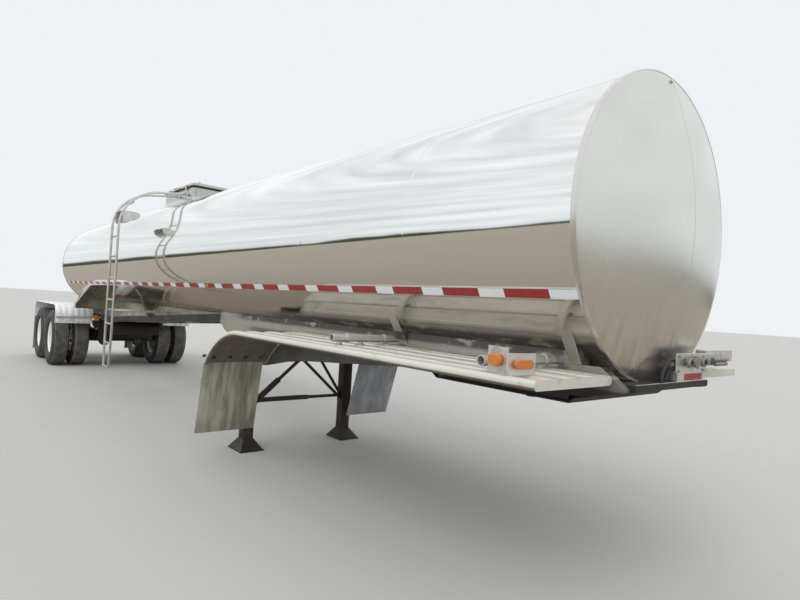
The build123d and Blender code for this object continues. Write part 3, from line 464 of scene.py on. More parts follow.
def to_mesh(name, bm):
    """The bmesh as a mesh; the bmesh is freed."""
    mesh = bpy.data.meshes.new(name)
    bm.to_mesh(mesh)
    bm.free()
    return mesh


def moved_verts(geom):
    """The vertices among what an operator made."""
    return [part for part in geom if isinstance(part, bmesh.types.BMVert)]


def cap_openings(bm, at_x=None):
    """Closes the open rims, or only those at one place along the trailer."""
    rims = [edge for edge in bm.edges if edge.is_boundary
            and (at_x is None or abs(edge.verts[0].co.x - at_x) < 0.0005)]
    bmesh.ops.contextual_create(bm, geom=rims)


def add_piece(name, bm, finish, stands_for=(), crease=32, outward=True, body="trailer"):
    """A piece from a bmesh, with its finish, slot, the nodes it stands for and its body."""
    bmesh.ops.remove_doubles(bm, verts=bm.verts, dist=0.000002)
    if outward:
        bmesh.ops.recalc_face_normals(bm, faces=bm.faces)
    down = bm.faces.layers.float.new("down")
    for face in bm.faces:
        face[down] = max(0.0, -face.normal.z)
    mesh = to_mesh(name, bm)
    mesh.shade_smooth()
    mesh.set_sharp_from_angle(angle=math.radians(crease))
    mesh.materials.clear()
    mesh.materials.append(FINISHES[finish])
    piece = bpy.data.objects.new(name, mesh)
    scene.collection.objects.link(piece)
    if stands_for:
        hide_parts(*stands_for)
    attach(piece, body)
    return piece


def dress(node, finish, bevel):
    """A copy of a CAD node with merged, smooth faces and rounded edges, which stands for it."""
    source = frame["nodes"][node]
    bm = bmesh.new()
    bm.from_mesh(source.data)
    bmesh.ops.remove_doubles(bm, verts=bm.verts, dist=0.00003)
    bmesh.ops.dissolve_limit(bm, angle_limit=math.radians(0.8), verts=bm.verts, edges=bm.edges)
    piece = add_piece(node + "_made", bm, finish, [node], outward=False, body=source["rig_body"])
    if bevel:
        rounding = piece.modifiers.new("edges", "BEVEL")
        rounding.width = bevel
        rounding.segments = 2
        rounding.limit_method = "ANGLE"
        rounding.angle_limit = math.radians(38)
        rounding.harden_normals = True


def rod(bm, start, end, radius, sides):
    """A round bar between two points."""
    start, end = Vector(start), Vector(end)
    way = end - start
    place = Matrix.Translation((start + end) / 2) @ way.to_track_quat("Z", "Y").to_matrix().to_4x4()
    bmesh.ops.create_cone(bm, cap_ends=True, segments=sides, radius1=radius, radius2=radius,
                          depth=way.length, matrix=place)


def block(bm, middle, size, turn=None, bevel=0.0):
    """A box with rounded edges."""
    place = Matrix.Translation(middle) @ (turn or Matrix()) @ Matrix.Diagonal((*size, 1))
    made = bmesh.ops.create_cube(bm, size=1, matrix=place)["verts"]
    if bevel:
        edges = list({edge for vert in made for edge in vert.link_edges})
        bmesh.ops.bevel(bm, geom=edges, offset=bevel, segments=2, profile=0.5, affect="EDGES",
                        material=-1)


def lathe(bm, outline, centre, axis, steps, closed=False):
    """Turns an outline of (distance along the axis, radius) points round the axis."""
    axis, centre = Vector(axis), Vector(centre)
    out = Vector((0, 0, 1)) if abs(axis.z) < 0.5 else Vector((1, 0, 0))
    verts = [bm.verts.new(centre + axis * reach + out * radius) for reach, radius in outline]
    pairs = list(zip(verts, verts[1:]))
    if closed:
        pairs.append((verts[-1], verts[0]))
    edges = [bm.edges.new(pair) for pair in pairs]
    bmesh.ops.spin(bm, geom=verts + edges, cent=centre, axis=axis, angle=2 * math.pi, steps=steps,
                   use_merge=True)


def join(bm, other):
    """Adds another bmesh to this one and frees it."""
    mesh = to_mesh("joined", other)
    bm.from_mesh(mesh)
    bpy.data.meshes.remove(mesh)


def bolts(bm, spots, facing, across=0.019, tall=0.010, washer=True):
    """Hex heads on washers, standing on their spots."""
    facing = Vector(facing).normalized()
    for spot in spots:
        spot = Vector(spot)
        base = 0.0
        if washer:
            rod(bm, spot, spot + facing * 0.0025, across * 0.75, 16)
            base = 0.0025
        rod(bm, spot + facing * base, spot + facing * (base + tall), across * 0.577, 6)


def bend(bm, points, radius, sides=4):
    """Adds a bent tube along smooth points."""
    curve = bpy.data.curves.new("line", "CURVE")
    curve.dimensions = "3D"
    curve.bevel_depth = radius
    curve.bevel_resolution = sides
    curve.use_fill_caps = True
    spline = curve.splines.new("NURBS")
    spline.points.add(len(points) - 1)
    for point, place in zip(spline.points, points):
        point.co = (*place, 1)
    spline.order_u = 3
    spline.use_endpoint_u = True
    spline.resolution_u = 8
    shape = bpy.data.objects.new("line", curve)
    scene.collection.objects.link(shape)
    bpy.context.view_layer.update()
    seen = shape.evaluated_get(bpy.context.evaluated_depsgraph_get())
    mesh = bpy.data.meshes.new_from_object(seen)
    bpy.data.objects.remove(shape)
    bm.from_mesh(mesh)
    bpy.data.meshes.remove(mesh)


def plate(bm, outline, way):
    """A flat outline drawn out along a way."""
    face = bm.faces.new([bm.verts.new(point) for point in outline])
    made = bmesh.ops.extrude_face_region(bm, geom=[face])["geom"]
    bmesh.ops.translate(bm, vec=way, verts=moved_verts(made))


def rim_circle(angle, radius=BARREL_R):
    """(y, z) on the barrel, with the angle from straight down towards the left."""
    return radius * math.sin(angle), BARREL_Z - radius * math.cos(angle)


def build_barrel():
    """The mirror barrel with its round sheet seams."""
    bm = bmesh.new()
    start, end = REAR_RIM + RIM_BAND, FRONT_RIM - RIM_BAND
    across_seam = [(-0.6 * SHEET, 0.0), (-0.3 * SHEET, 0.0), (-0.0100, 0.0), (-0.0040, 0.0),
                   (-0.0015, SEAM_HIGH), (0.0015, SEAM_HIGH), (0.0040, 0.0), (0.0100, 0.0)]
    outline = [(start, BARREL_R)]
    seam = FIRST_SEAM
    while seam < end:
        if seam - start > SEAM_CLEAR and end - seam > SEAM_CLEAR:
            outline += [(seam + reach, BARREL_R + high) for reach, high in across_seam]
        seam += SHEET
    outline.append((end, BARREL_R))
    outline = [point for point in outline if start <= point[0] <= end]
    lathe(bm, outline, (0, 0, BARREL_Z), (1, 0, 0), 192)
    for x in (start, end):
        cap_openings(bm, x)
    add_piece("barrel_shell", bm, "polished_steel", ["tank_barrel"], crease=40)


def dish_x(radius):
    """How far a point of the dish stands in front of its edge."""
    ball = (DISH_R ** 2 + DISH_DEPTH ** 2) / (2 * DISH_DEPTH)
    return DISH_DEPTH - ball + math.sqrt(ball ** 2 - radius ** 2)


def build_heads():
    """Dished heads with a rolled rim band and a weld across."""
    for node, rim, out in (("head_front", FRONT_RIM, 1), ("head_rear", REAR_RIM, -1)):
        bm = bmesh.new()
        band = [(-RIM_BAND, 0.0006), (-RIM_BAND, 0.0035), (-RIM_BAND + 0.001, 0.004),
                (0.004, 0.004), (0.0085, 0.0025), (0.010, -0.001), (0.0085, -0.0045)]
        outline = [(reach, BARREL_R + high) for reach, high in band] + [(DISH_EDGE, DISH_R)]
        for ring in range(1, DISH_RINGS + 1):
            radius = DISH_R * (1 - ring / DISH_RINGS)
            outline.append((DISH_EDGE + dish_x(radius), radius))
        lathe(bm, outline, (rim, 0, BARREL_Z), (out, 0, 0), 160)
        cap_openings(bm)
        add_piece(node + "_shell", bm, "satin_steel", [node], crease=40)
        weld = []
        for step in range(-8, 9):
            z = BARREL_Z + step / 8 * (DISH_R - 0.012)
            side = 0.113 - 0.10 * ((z - BARREL_Z) / 0.85) ** 2 if out > 0 else 0.0
            radius = math.hypot(side, z - BARREL_Z)
            if radius < DISH_R - 0.008:
                weld.append((rim + out * (0.0085 + dish_x(radius)), side, z))
        seam = bmesh.new()
        bend(seam, weld, 0.0028, sides=2)
        add_piece(node + "_seam", seam, "weld_bead", crease=60)


TAPE_TOP = 1.602
TAPE_HIGH = 0.0508
TAPE_THICK = 0.0004
TAPE_GAP = 0.0006
RED_LONG = 0.2794
WHITE_LONG = 0.1778


def tape_patch(bm, start, end, out):
    """A strip of tape that lies on the barrel's flank, between two places along it."""
    top = math.acos((BARREL_Z - TAPE_TOP) / BARREL_R)
    turn = TAPE_HIGH / BARREL_R
    y, z = rim_circle(out * top, BARREL_R + TAPE_THICK)
    ends = [bm.verts.new((x, y, z)) for x in (start, end)]
    edge = bm.edges.new(ends)
    bmesh.ops.spin(bm, geom=ends + [edge], cent=(0, 0, BARREL_Z), axis=(1, 0, 0), angle=-out * turn,
                   steps=4)


def build_tape():
    """Red and white reflective tape along both flanks, from the front rim back."""
    for side, out in SIDES.items():
        red, white = bmesh.new(), bmesh.new()
        x = FRONT_RIM - RIM_BAND - 0.002
        end = REAR_RIM + RIM_BAND + 0.01
        patch = 0
        while x > end:
            target, long = (white, WHITE_LONG) if patch % 2 == 0 else (red, RED_LONG)
            if patch == 0:
                long -= 0.02
            tape_patch(target, max(end, x - long + TAPE_GAP), x, out)
            x -= long
            patch += 1
        for name, bm in (("tape_red_" + side, red), ("tape_white_" + side, white)):
            bmesh.ops.solidify(bm, geom=bm.faces[:], thickness=TAPE_THICK)
            add_piece(name, bm, name[:-len(side) - 1], crease=50)


TYRE_STEPS = 150
RIM_STEPS = 80
STUD_CIRCLE = 0.138
STUD_R = 0.0095
FLANGE_CIRCLE = 0.084
FLANGE_OUT = 0.0725
# Each wheel stands a little further round than the one before
WHEEL_TURN = 0.37


def tyre_outline():
    """Half a ribbed tyre, from the middle of the tread to the bead: (distance sideways, radius)."""
    tread = [(0.0, 0.0), (0.0165, 0.0), (0.0180, 0.011), (0.0235, 0.011), (0.0250, 0.0),
             (0.0560, 0.0003), (0.0575, 0.0113), (0.0630, 0.0113), (0.0645, 0.0004),
             (0.0880, 0.0014)]
    shoulder = [(0.1000, 0.0026), (0.1065, 0.006), (0.1120, 0.013), (0.1170, 0.021),
                (0.1190, 0.022)]
    wall = [(0.1235, 0.033), (0.1300, 0.050), (0.1345, 0.070), (0.1360, 0.072), (0.1375, 0.092),
            (0.1378, 0.118), (0.1370, 0.134), (0.1382, 0.136), (0.1370, 0.139), (0.1330, 0.160),
            (0.1260, 0.180), (0.1150, 0.198), (0.1050, 0.208), (0.1045, 0.214), (0.1000, 0.222),
            (0.0960, 0.225)]
    return [(side, TYRE_R - drop) for side, drop in tread + shoulder + wall]


def tyre_pair_mesh():
    """Two tyres side by side round the origin, with shoulder cuts and a tread attribute."""
    bm = bmesh.new()
    half = tyre_outline()
    outline = [(-side, radius) for side, radius in reversed(half[1:])] + half
    for middle in (-DUAL_HALF, DUAL_HALF):
        lathe(bm, [(middle + side, radius) for side, radius in outline], (0, 0, 0), (0, 1, 0),
              TYRE_STEPS, closed=True)
    bmesh.ops.remove_doubles(bm, verts=bm.verts, dist=0.00001)
    bmesh.ops.recalc_face_normals(bm, faces=bm.faces)
    cuts = []
    for face in bm.faces:
        at = face.calc_center_median()
        side = abs(abs(at.y) - DUAL_HALF)
        step = int((math.atan2(at.z, at.x) / (2 * math.pi) + 1) * TYRE_STEPS)
        if 0.108 < side < 0.118 and math.hypot(at.x, at.z) > 0.488 and step % 3 == 0:
            cuts.append(face)
    bmesh.ops.inset_individual(bm, faces=cuts, thickness=0.0008, depth=-0.006)
    tread = bm.verts.layers.float.new("tread")
    for vert in bm.verts:
        radius = math.hypot(vert.co.x, vert.co.z)
        in_groove = abs(abs(vert.co.y) - DUAL_HALF) < 0.070 and radius > 0.49
        vert[tread] = 1.0 if radius > TYRE_R - 0.0045 else 0.5 if in_groove else 0.0
    return to_mesh("tyre_pair", bm)


def rim_pair_mesh():
    """Two steel discs back to back with hand holes, and their deep barrels."""
    bm = bmesh.new()
    disc = [(0.0145, 0.1125), (0.0145, 0.150), (0.0145, 0.172), (0.026, 0.190), (0.038, 0.208),
            (0.051, 0.228), (0.063, 0.246), (0.072, 0.258)]
    well = [(0.090, 0.2635), (0.110, 0.2600), (0.160, 0.2600), (0.200, 0.2625), (0.235, 0.2660),
            (0.254, 0.2670), (0.262, 0.2760), (0.2630, 0.2860), (0.2660, 0.2945), (0.2690, 0.2990)]
    lathe(bm, disc + well, (0, 0, 0), (0, 1, 0), RIM_STEPS)
    holes = []
    for face in bm.faces:
        at = face.calc_center_median()
        radius = math.hypot(at.x, at.z)
        step = int((math.atan2(at.z, at.x) / (2 * math.pi) + 1) * RIM_STEPS + 0.001)
        if 0.190 < radius < 0.228 and step % 16 < 4:
            holes.append(face)
    bmesh.ops.delete(bm, geom=holes, context="FACES")
    bmesh.ops.recalc_face_normals(bm, faces=bm.faces)
    bmesh.ops.solidify(bm, geom=bm.faces[:], thickness=0.009)
    made = bmesh.ops.duplicate(bm, geom=bm.verts[:] + bm.edges[:] + bm.faces[:])["geom"]
    bmesh.ops.scale(bm, vec=(1, -1, 1), verts=moved_verts(made))
    bmesh.ops.recalc_face_normals(bm, faces=bm.faces)
    return to_mesh("rim_pair", bm)


def place_mesh(node, ending, mesh, place, body, finish):
    """A copy of a mesh at its place, which stands for a node."""
    bm = bmesh.new()
    bm.from_mesh(mesh)
    bmesh.ops.transform(bm, matrix=place, verts=bm.verts)
    return add_piece(node + ending, bm, finish, [node], 40, body=body)


# Outline of the drum and hub: distance outward from the middle of the pair, radius
DRUM = [(-0.228, 0.150), (-0.228, 0.200), (-0.224, 0.206), (-0.208, 0.206), (-0.206, 0.199),
        (-0.192, 0.199), (-0.190, 0.203), (-0.184, 0.203), (-0.182, 0.199), (-0.070, 0.199),
        (-0.062, 0.192), (-0.060, 0.152), (-0.044, 0.118), (-0.030, 0.1115), (0.016, 0.1105),
        (0.020, 0.1035), (0.060, 0.0965), (0.070, 0.0955), (FLANGE_OUT, 0.0925),
        (FLANGE_OUT, 0.075), (0.108, 0.071), (0.115, 0.062), (0.118, 0.040), (0.118, 0.0)]


def build_wheels():
    """Tyres, rims, drums, hubs and nuts of the four twin wheels."""
    tyres, rims = tyre_pair_mesh(), rim_pair_mesh()
    turn = 0.0
    for end, x in AXLE_X.items():
        for side, out in SIDES.items():
            wheel = f"{end}_{side}"
            body = "wheels_" + wheel
            turn += WHEEL_TURN
            centre = Vector((x, out * DUAL_Y, TYRE_R))
            outward = Vector((0, out, 0))
            place = Matrix.Translation(centre) @ Matrix.Rotation(turn, 4, "Y")
            place_mesh("tyres_" + wheel, "_ribbed", tyres, place, body, "tyre_black")
            rim = place_mesh("rims_" + wheel, "_dished", rims, place, body, "rim_white")
            soften = rim.modifiers.new("holes", "SUBSURF")
            soften.levels = 1
            soften.render_levels = 1
            bm = bmesh.new()
            lathe(bm, DRUM, centre, outward, 72)
            cap_openings(bm)
            angles = [turn + spot * math.pi / 5 for spot in range(10)]
            spokes = [Vector((math.cos(angle), 0, math.sin(angle))) for angle in angles]
            for spoke in spokes:
                stud = centre + spoke * STUD_CIRCLE
                rod(bm, stud - outward * 0.020, stud + outward * 0.036, STUD_R, 12)
                small = centre + spoke * FLANGE_CIRCLE + outward * FLANGE_OUT
                bolts(bm, [small], outward, 0.012, 0.006, False)
            add_piece(f"hub_{wheel}_cast", bm, "hub_dark", ["hub_" + wheel], 35, body=body)
            bm = bmesh.new()
            seats = [centre + spoke * STUD_CIRCLE + outward * 0.0150 for spoke in spokes]
            bolts(bm, seats, outward, 0.031, 0.017)
            add_piece("wheel_nuts_" + wheel, bm, "bolt_zinc", body=body)


LEAF_THICK = 0.0245
LEAF_Z = 0.678
UBOLT_X = 0.062
UBOLT_Y = 0.045
UBOLT_R = 0.0085
UBOLT_FOOT = 0.470


def build_springs():
    """Leaf packs on their seats, with U-bolts, in place of the plain springs."""
    bm = bmesh.new()
    clamps = bmesh.new()
    ends = {"front": (0.560, -0.600), "rear": (0.600, -0.540)}
    for end, x in AXLE_X.items():
        ahead, behind = ends[end]
        for y in (-FRAME_Y, FRAME_Y):
            for leaf, shorten in enumerate((1.0, 0.96, 0.62)):
                low, high = x + behind * shorten, x + ahead * shorten
                arm = bmesh.new()
                bmesh.ops.create_grid(arm, x_segments=16, y_segments=1, size=0.5)
                bmesh.ops.scale(arm, vec=(high - low - 0.01, 0.075, 1), verts=arm.verts)
                bmesh.ops.solidify(arm, geom=arm.faces[:], thickness=LEAF_THICK - 0.001)
                for vert in arm.verts:
                    vert.co.x += (low + high) / 2
                    vert.co.y += y
                    rise = 0.068 * ((vert.co.x - x) / 0.6) ** 2
                    vert.co.z += LEAF_Z - leaf * LEAF_THICK + rise * (0.75 if leaf < 2 else 0.62)
                join(bm, arm)
            for near in (x - UBOLT_X, x + UBOLT_X):
                for edge in (y - UBOLT_Y, y + UBOLT_Y):
                    rod(clamps, (near, edge, UBOLT_FOOT), (near, edge, 0.706), UBOLT_R, 12)
                    bolts(clamps, [(near, edge, UBOLT_FOOT + 0.008)], (0, 0, -1), 0.026, 0.016)
                rod(clamps, (near, y - 0.0455, 0.700), (near, y + 0.0455, 0.700), UBOLT_R, 12)
            block(clamps, (x, y, 0.485), (0.17, 0.115, 0.016), bevel=0.003)
            block(clamps, (x, y, 0.697), (0.15, 0.078, 0.012), bevel=0.003)
    add_piece("leaf_packs", bm, "dark_steel", ["leaf_springs"], 40)
    add_piece("spring_clamps", clamps, "dark_steel")


COUPLING_Z = 1.270
BRACKET_X = 6.404


def build_coupler_trim():
    """Bolts that hold the front fenders on their tubes and the coupling bracket on the nose."""
    bm = bmesh.new()
    for out in SIDES.values():
        for x in (4.640, 5.975):
            for y in (0.590, 0.775, 0.950):
                for offset in (-0.024, 0.024):
                    bolts(bm, [(x + offset, out * y, FENDER_TOP + 0.0005)], (0, 0, 1), 0.013, 0.007)
    for y in (0.030, 0.350):
        for z in (1.222, 1.300):
            bolts(bm, [(BRACKET_X, y, z)], (1, 0, 0), 0.013, 0.007)
    add_piece("front_bolts", bm, "bolt_zinc")


CURL_X = 3.417
CURL_Z = 0.370
CURL_TURN = 47


def on_curl(radius, turn=CURL_TURN):
    """A point on the curled tail of the front fenders, at an angle from straight up."""
    turn = math.radians(turn)
    return CURL_X - radius * math.sin(turn), CURL_Z + radius * math.cos(turn)


def build_flap_fixings():
    """Bolts inside the front fenders' tails and the bars that clamp the flaps behind them."""
    bm = bmesh.new()
    bars = bmesh.new()
    slant = Matrix.Rotation(math.radians(-CURL_TURN), 4, "Y")
    for out in SIDES.values():
        for y in (0.590, 0.740, 0.890, 1.040):
            for radius, way in ((0.8115, -1), (0.8330, 1)):
                x, z = on_curl(radius)
                facing = way * (x - CURL_X), 0, way * (z - CURL_Z)
                bolts(bm, [(x, out * y, z)], facing, 0.024, 0.012)
        x, z = on_curl(0.8320, 47.2)
        block(bars, (x, out * 0.830, z), (0.036, 0.620, 0.004), slant, 0.0012)
    add_piece("flap_bolts", bm, "hub_dark")
    add_piece("flap_bars", bars, "hub_dark")


MARKER_Z = 1.580
# The rear lamps' plates: (distance sideways, height)
HANGER = ((0.488, 0.886), (0.612, 0.886), (0.612, 0.800), (0.575, 0.745), (0.488, 0.745))


def build_markers():
    """Small amber lamps on the tape at mid length, and the plates that hold the rear ones."""
    lamps, plates = bmesh.new(), bmesh.new()
    angle = math.acos((BARREL_Z - MARKER_Z) / BARREL_R)
    for out in SIDES.values():
        y, z = rim_circle(out * angle)
        lean = Matrix.Rotation(-out * (math.pi / 2 - angle), 4, "X")
        block(lamps, (1.790, y, z), (0.060, 0.034, 0.030), lean, 0.006)
        plate(plates, [(-3.966, out * y, z) for y, z in HANGER], (-0.005, 0, 0))
    add_piece("side_markers", lamps, "lamp_amber")
    add_piece("lamp_hangers", plates, "dark_steel")


LADDER_Y = -1.140
LADDER_X = (-0.675, -0.345)
RAIL_R = 0.016
BAR_R = 0.012
STAND_OFF_Z = 1.200
RUNGS = [(LADDER_Y, 1.340), (LADDER_Y, 1.628), (LADDER_Y, 1.921), (LADDER_Y, 2.190),
         (-0.975, 2.660), (-0.440, 2.869)]
# Shoulder step: side plates and tread as (y, z)
STEP_SIDE = [(-1.112, 2.532), (-0.945, 2.528), (-0.902, 2.512), (-0.886, 2.484), (-0.900, 2.455),
             (-0.960, 2.412), (-1.100, 2.376)]
STEP_TOP = STEP_SIDE[:3] + [(-0.902, 2.508), (-0.945, 2.524), (-1.112, 2.528)]


def build_ladder():
    """Ladder with bent rails, rungs, a gusseted shoulder step and its low stand-offs."""
    bm = bmesh.new()
    turns = [math.radians(step * 7.5) for step in range(12)]
    arc = [(LADDER_Y + 0.56 * (1 - math.cos(turn)), 2.330 + 0.520 * math.sin(turn))
           for turn in turns]
    straight = [(LADDER_Y, 1.040), (LADDER_Y, 1.7), (LADDER_Y, 2.28)]
    rail = straight + arc + [(-0.45, 2.868), (-0.298, 2.888)]
    for x in LADDER_X:
        bend(bm, [(x, y, z) for y, z in rail], RAIL_R)
        rod(bm, (x, LADDER_Y, STAND_OFF_Z), (x, -0.512, STAND_OFF_Z), BAR_R, 20)
        rod(bm, (x, -0.520, STAND_OFF_Z), (x, -0.508, STAND_OFF_Z), 0.026, 20)
        rod(bm, (x, -0.306, 2.887), (x, -0.298, 2.888), 0.028, 20)
    for y, z in RUNGS:
        rod(bm, (LADDER_X[0], y, z), (LADDER_X[1], y, z), BAR_R, 20)
    for x in (-0.697, -0.327):
        plate(bm, [(x, y, z) for y, z in STEP_SIDE], (0.004, 0, 0))
    plate(bm, [(-0.693, y, z) for y, z in STEP_TOP], (0.366, 0, 0))
    add_piece("ladder_bent", bm, "ladder_metal", ["ladder"], 50)


# Turned outlines: distance from the bracket, or along the coupling, and radius
GLADHAND = [(0.0, 0.0), (0.0, 0.0205), (0.008, 0.0205), (0.009, 0.0135), (0.020, 0.0135),
            (0.021, 0.0240), (0.024, 0.0275), (0.037, 0.0275), (0.0420, 0.0235), (0.0420, 0.0165),
            (0.0385, 0.0160), (0.0385, 0.0)]
GLADHAND_SEAL = [(0.0386, 0.0085), (0.0440, 0.0095), (0.0455, 0.0125), (0.0440, 0.0155),
                 (0.0386, 0.0160)]
SOCKET = [(0.0, 0.0), (0.0, 0.034), (0.005, 0.034), (0.006, 0.028), (0.030, 0.028), (0.031, 0.0315),
          (0.036, 0.0315), (0.038, 0.029), (0.038, 0.0)]
SPIGOT = [(0.0, 0.0), (0.0, 0.024), (0.006, 0.024), (0.007, 0.018), (0.022, 0.018), (0.022, 0.0)]
DOUBLE = [(-0.105, 0.0), (-0.105, 0.010), (-0.100, 0.0128), (-0.070, 0.0128), (-0.068, 0.0100),
          (-0.060, 0.0100), (-0.058, 0.0128), (0.030, 0.0128), (0.032, 0.0105), (0.040, 0.0105),
          (0.042, 0.0128), (0.100, 0.0128), (0.105, 0.010), (0.105, 0.0)]


def build_couplings():
    """Air couplings, the round socket between them and the double coupling beside them."""
    cast, rubber = bmesh.new(), bmesh.new()

    def by_bracket(ahead, y, above):
        return BRACKET_X + ahead, y, COUPLING_Z + above

    for y in (0.100, 0.280):
        at = by_bracket(0, y, 0)
        lathe(cast, GLADHAND, at, (1, 0, 0), 40)
        lathe(rubber, GLADHAND_SEAL, at, (1, 0, 0), 40, closed=True)
        block(cast, by_bracket(0.030, y + 0.040, 0), (0.016, 0.048, 0.026), bevel=0.006)
        block(cast, by_bracket(0.041, y + 0.046, 0.004), (0.006, 0.034, 0.040), bevel=0.0025)
        block(cast, by_bracket(0.034, y - 0.026, -0.006), (0.012, 0.010, 0.030), bevel=0.003)
        block(cast, by_bracket(-0.028, y, -0.010), (0.0396, 0.044, 0.048), bevel=0.010)
        rod(cast, by_bracket(-0.028, y, -0.045), by_bracket(-0.028, y, -0.032), 0.020, 6)
        bolts(cast, [at], (1, 0, 0), 0.042, 0.006, False)
    lathe(cast, SOCKET, by_bracket(0, 0.190, 0), (1, 0, 0), 48)
    block(cast, by_bracket(0.030, 0.190, 0.0300), (0.016, 0.026, 0.008), bevel=0.002)
    rod(cast, by_bracket(0.031, 0.175, 0.0305), by_bracket(0.031, 0.205, 0.0305), 0.0035, 12)
    block(cast, by_bracket(0.035, 0.190, -0.0300), (0.005, 0.018, 0.008), bevel=0.0015)
    for y in (0.470, 0.560):
        lathe(cast, SPIGOT, by_bracket(0, y, 0), (1, 0, 0), 36)
    lathe(cast, DOUBLE, by_bracket(0.033, 0.510, 0.012), (0, 1, 0), 32)
    shorter = [(reach * 0.8, radius) for reach, radius in DOUBLE]
    lathe(cast, shorter, by_bracket(0.033, 0.516, -0.013), (0, 1, 0), 32)
    block(cast, by_bracket(0.027, 0.515, 0), (0.012, 0.130, 0.046), bevel=0.004)
    add_piece("couplings_cast", cast, "coupling_grey", ["gladhands"], 35)
    add_piece("coupling_seals", rubber, "seal_rubber", (), 50)
    tape = bmesh.new()
    block(tape, (BRACKET_X + 0.0005, 0.225, 1.187), (0.0006, 0.230, 0.036))
    add_piece("nose_tape", tape, "tape_red")
    edge = bmesh.new()
    block(edge, (6.4010, 0.0, 1.1632), (0.008, 0.836, 0.0024), bevel=0.0008)
    rod(edge, (6.270, 0.0, 2.804), (6.306, 0.0, 2.804), 0.011, 20)
    add_piece("nose_edge", edge, "bracket_alu")


# Heights over the housing's top
STAPLE_UP = -0.034
GRIP_UP = 0.020


def build_housing_trim():
    """Hasps and a grip on the housing's lid, the hasps' staples, and the pad under the housing."""
    lid = frame["nodes"]["housing_lid"]["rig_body"]
    moving, fixed = bmesh.new(), bmesh.new()

    def by_edge(x, outward, above):
        return HOUSE_X + x, -HOUSE_W / 2 - outward, HOUSE_TOP + above

    for x in (-0.360, 0.360):
        block(moving, by_edge(x, 0.0205, -0.004), (0.042, 0.003, 0.074), bevel=0.001)
        block(moving, by_edge(x, 0.0155, 0.030), (0.042, 0.012, 0.003), bevel=0.001)
        bolts(moving, [by_edge(x, 0.0100, 0.0315)], (0, 0, 1), 0.010, 0.005)
        for near in (x - 0.010, x + 0.010):
            rod(fixed, by_edge(near, 0.001, STAPLE_UP), by_edge(near, 0.030, STAPLE_UP), 0.0035, 12)
        rod(fixed, by_edge(x - 0.0135, 0.030, STAPLE_UP), by_edge(x + 0.0135, 0.030, STAPLE_UP),
            0.0035, 12)
        block(fixed, by_edge(x, 0.0025, -0.040), (0.050, 0.004, 0.044), bevel=0.001)
    for x in (-0.070, 0.070):
        rod(moving, by_edge(x, 0.008, GRIP_UP), by_edge(x, 0.046, GRIP_UP), 0.006, 16)
        bolts(moving, [by_edge(x, 0.010, GRIP_UP)], (0, -1, 0), 0.020, 0.003, False)
    rod(moving, by_edge(-0.076, 0.046, GRIP_UP), by_edge(0.076, 0.046, GRIP_UP), 0.006, 16)
    pad = bmesh.new()
    bmesh.ops.create_grid(pad, x_segments=32, y_segments=16, size=0.5)
    bmesh.ops.scale(pad, vec=(HOUSE_L + 0.08, HOUSE_W + 0.08, 1), verts=pad.verts)
    inner = [face for face in pad.faces if abs(face.calc_center_median().x) < HOUSE_L / 2
             and abs(face.calc_center_median().y) < HOUSE_W / 2]
    bmesh.ops.delete(pad, geom=inner, context="FACES")
    for vert in pad.verts:
        vert.co.z = BARREL_Z + math.sqrt((BARREL_R + 0.0045) ** 2 - vert.co.y ** 2)
    bmesh.ops.translate(pad, vec=(HOUSE_X, 0, 0), verts=pad.verts)
    bmesh.ops.solidify(pad, geom=pad.faces[:], thickness=0.0040)
    add_piece("housing_pad", pad, "satin_steel", (), 40)
    add_piece("lid_hasps", moving, "bracket_alu", body=lid)
    add_piece("housing_staples", fixed, "bracket_alu")


LAMP_Z = 1.020
CHAMBER_Z = 0.470
# Turned outlines: distance along the trailer, radius
GROMMET = [(-6.4285, 0.0525), (-6.4440, 0.0525), (-6.4445, 0.0560), (-6.4400, 0.0605),
           (-6.4285, 0.0610)]
OUTLET_CAP = [(-6.4300, 0.0), (-6.4300, 0.030), (-6.4340, 0.034), (-6.4340, 0.0375),
              (-6.4200, 0.0375), (-6.4200, 0.0)]
FLANGE_BOLTS = 0.066
CLAMP_RING = [(0.0, 0.0805), (0.0, 0.0880), (0.014, 0.0880), (0.014, 0.0805)]
CHAMBER_END = [(-0.002, 0.0), (-0.002, 0.073), (0.004, 0.069), (0.011, 0.052), (0.015, 0.027),
               (0.016, 0.0)]


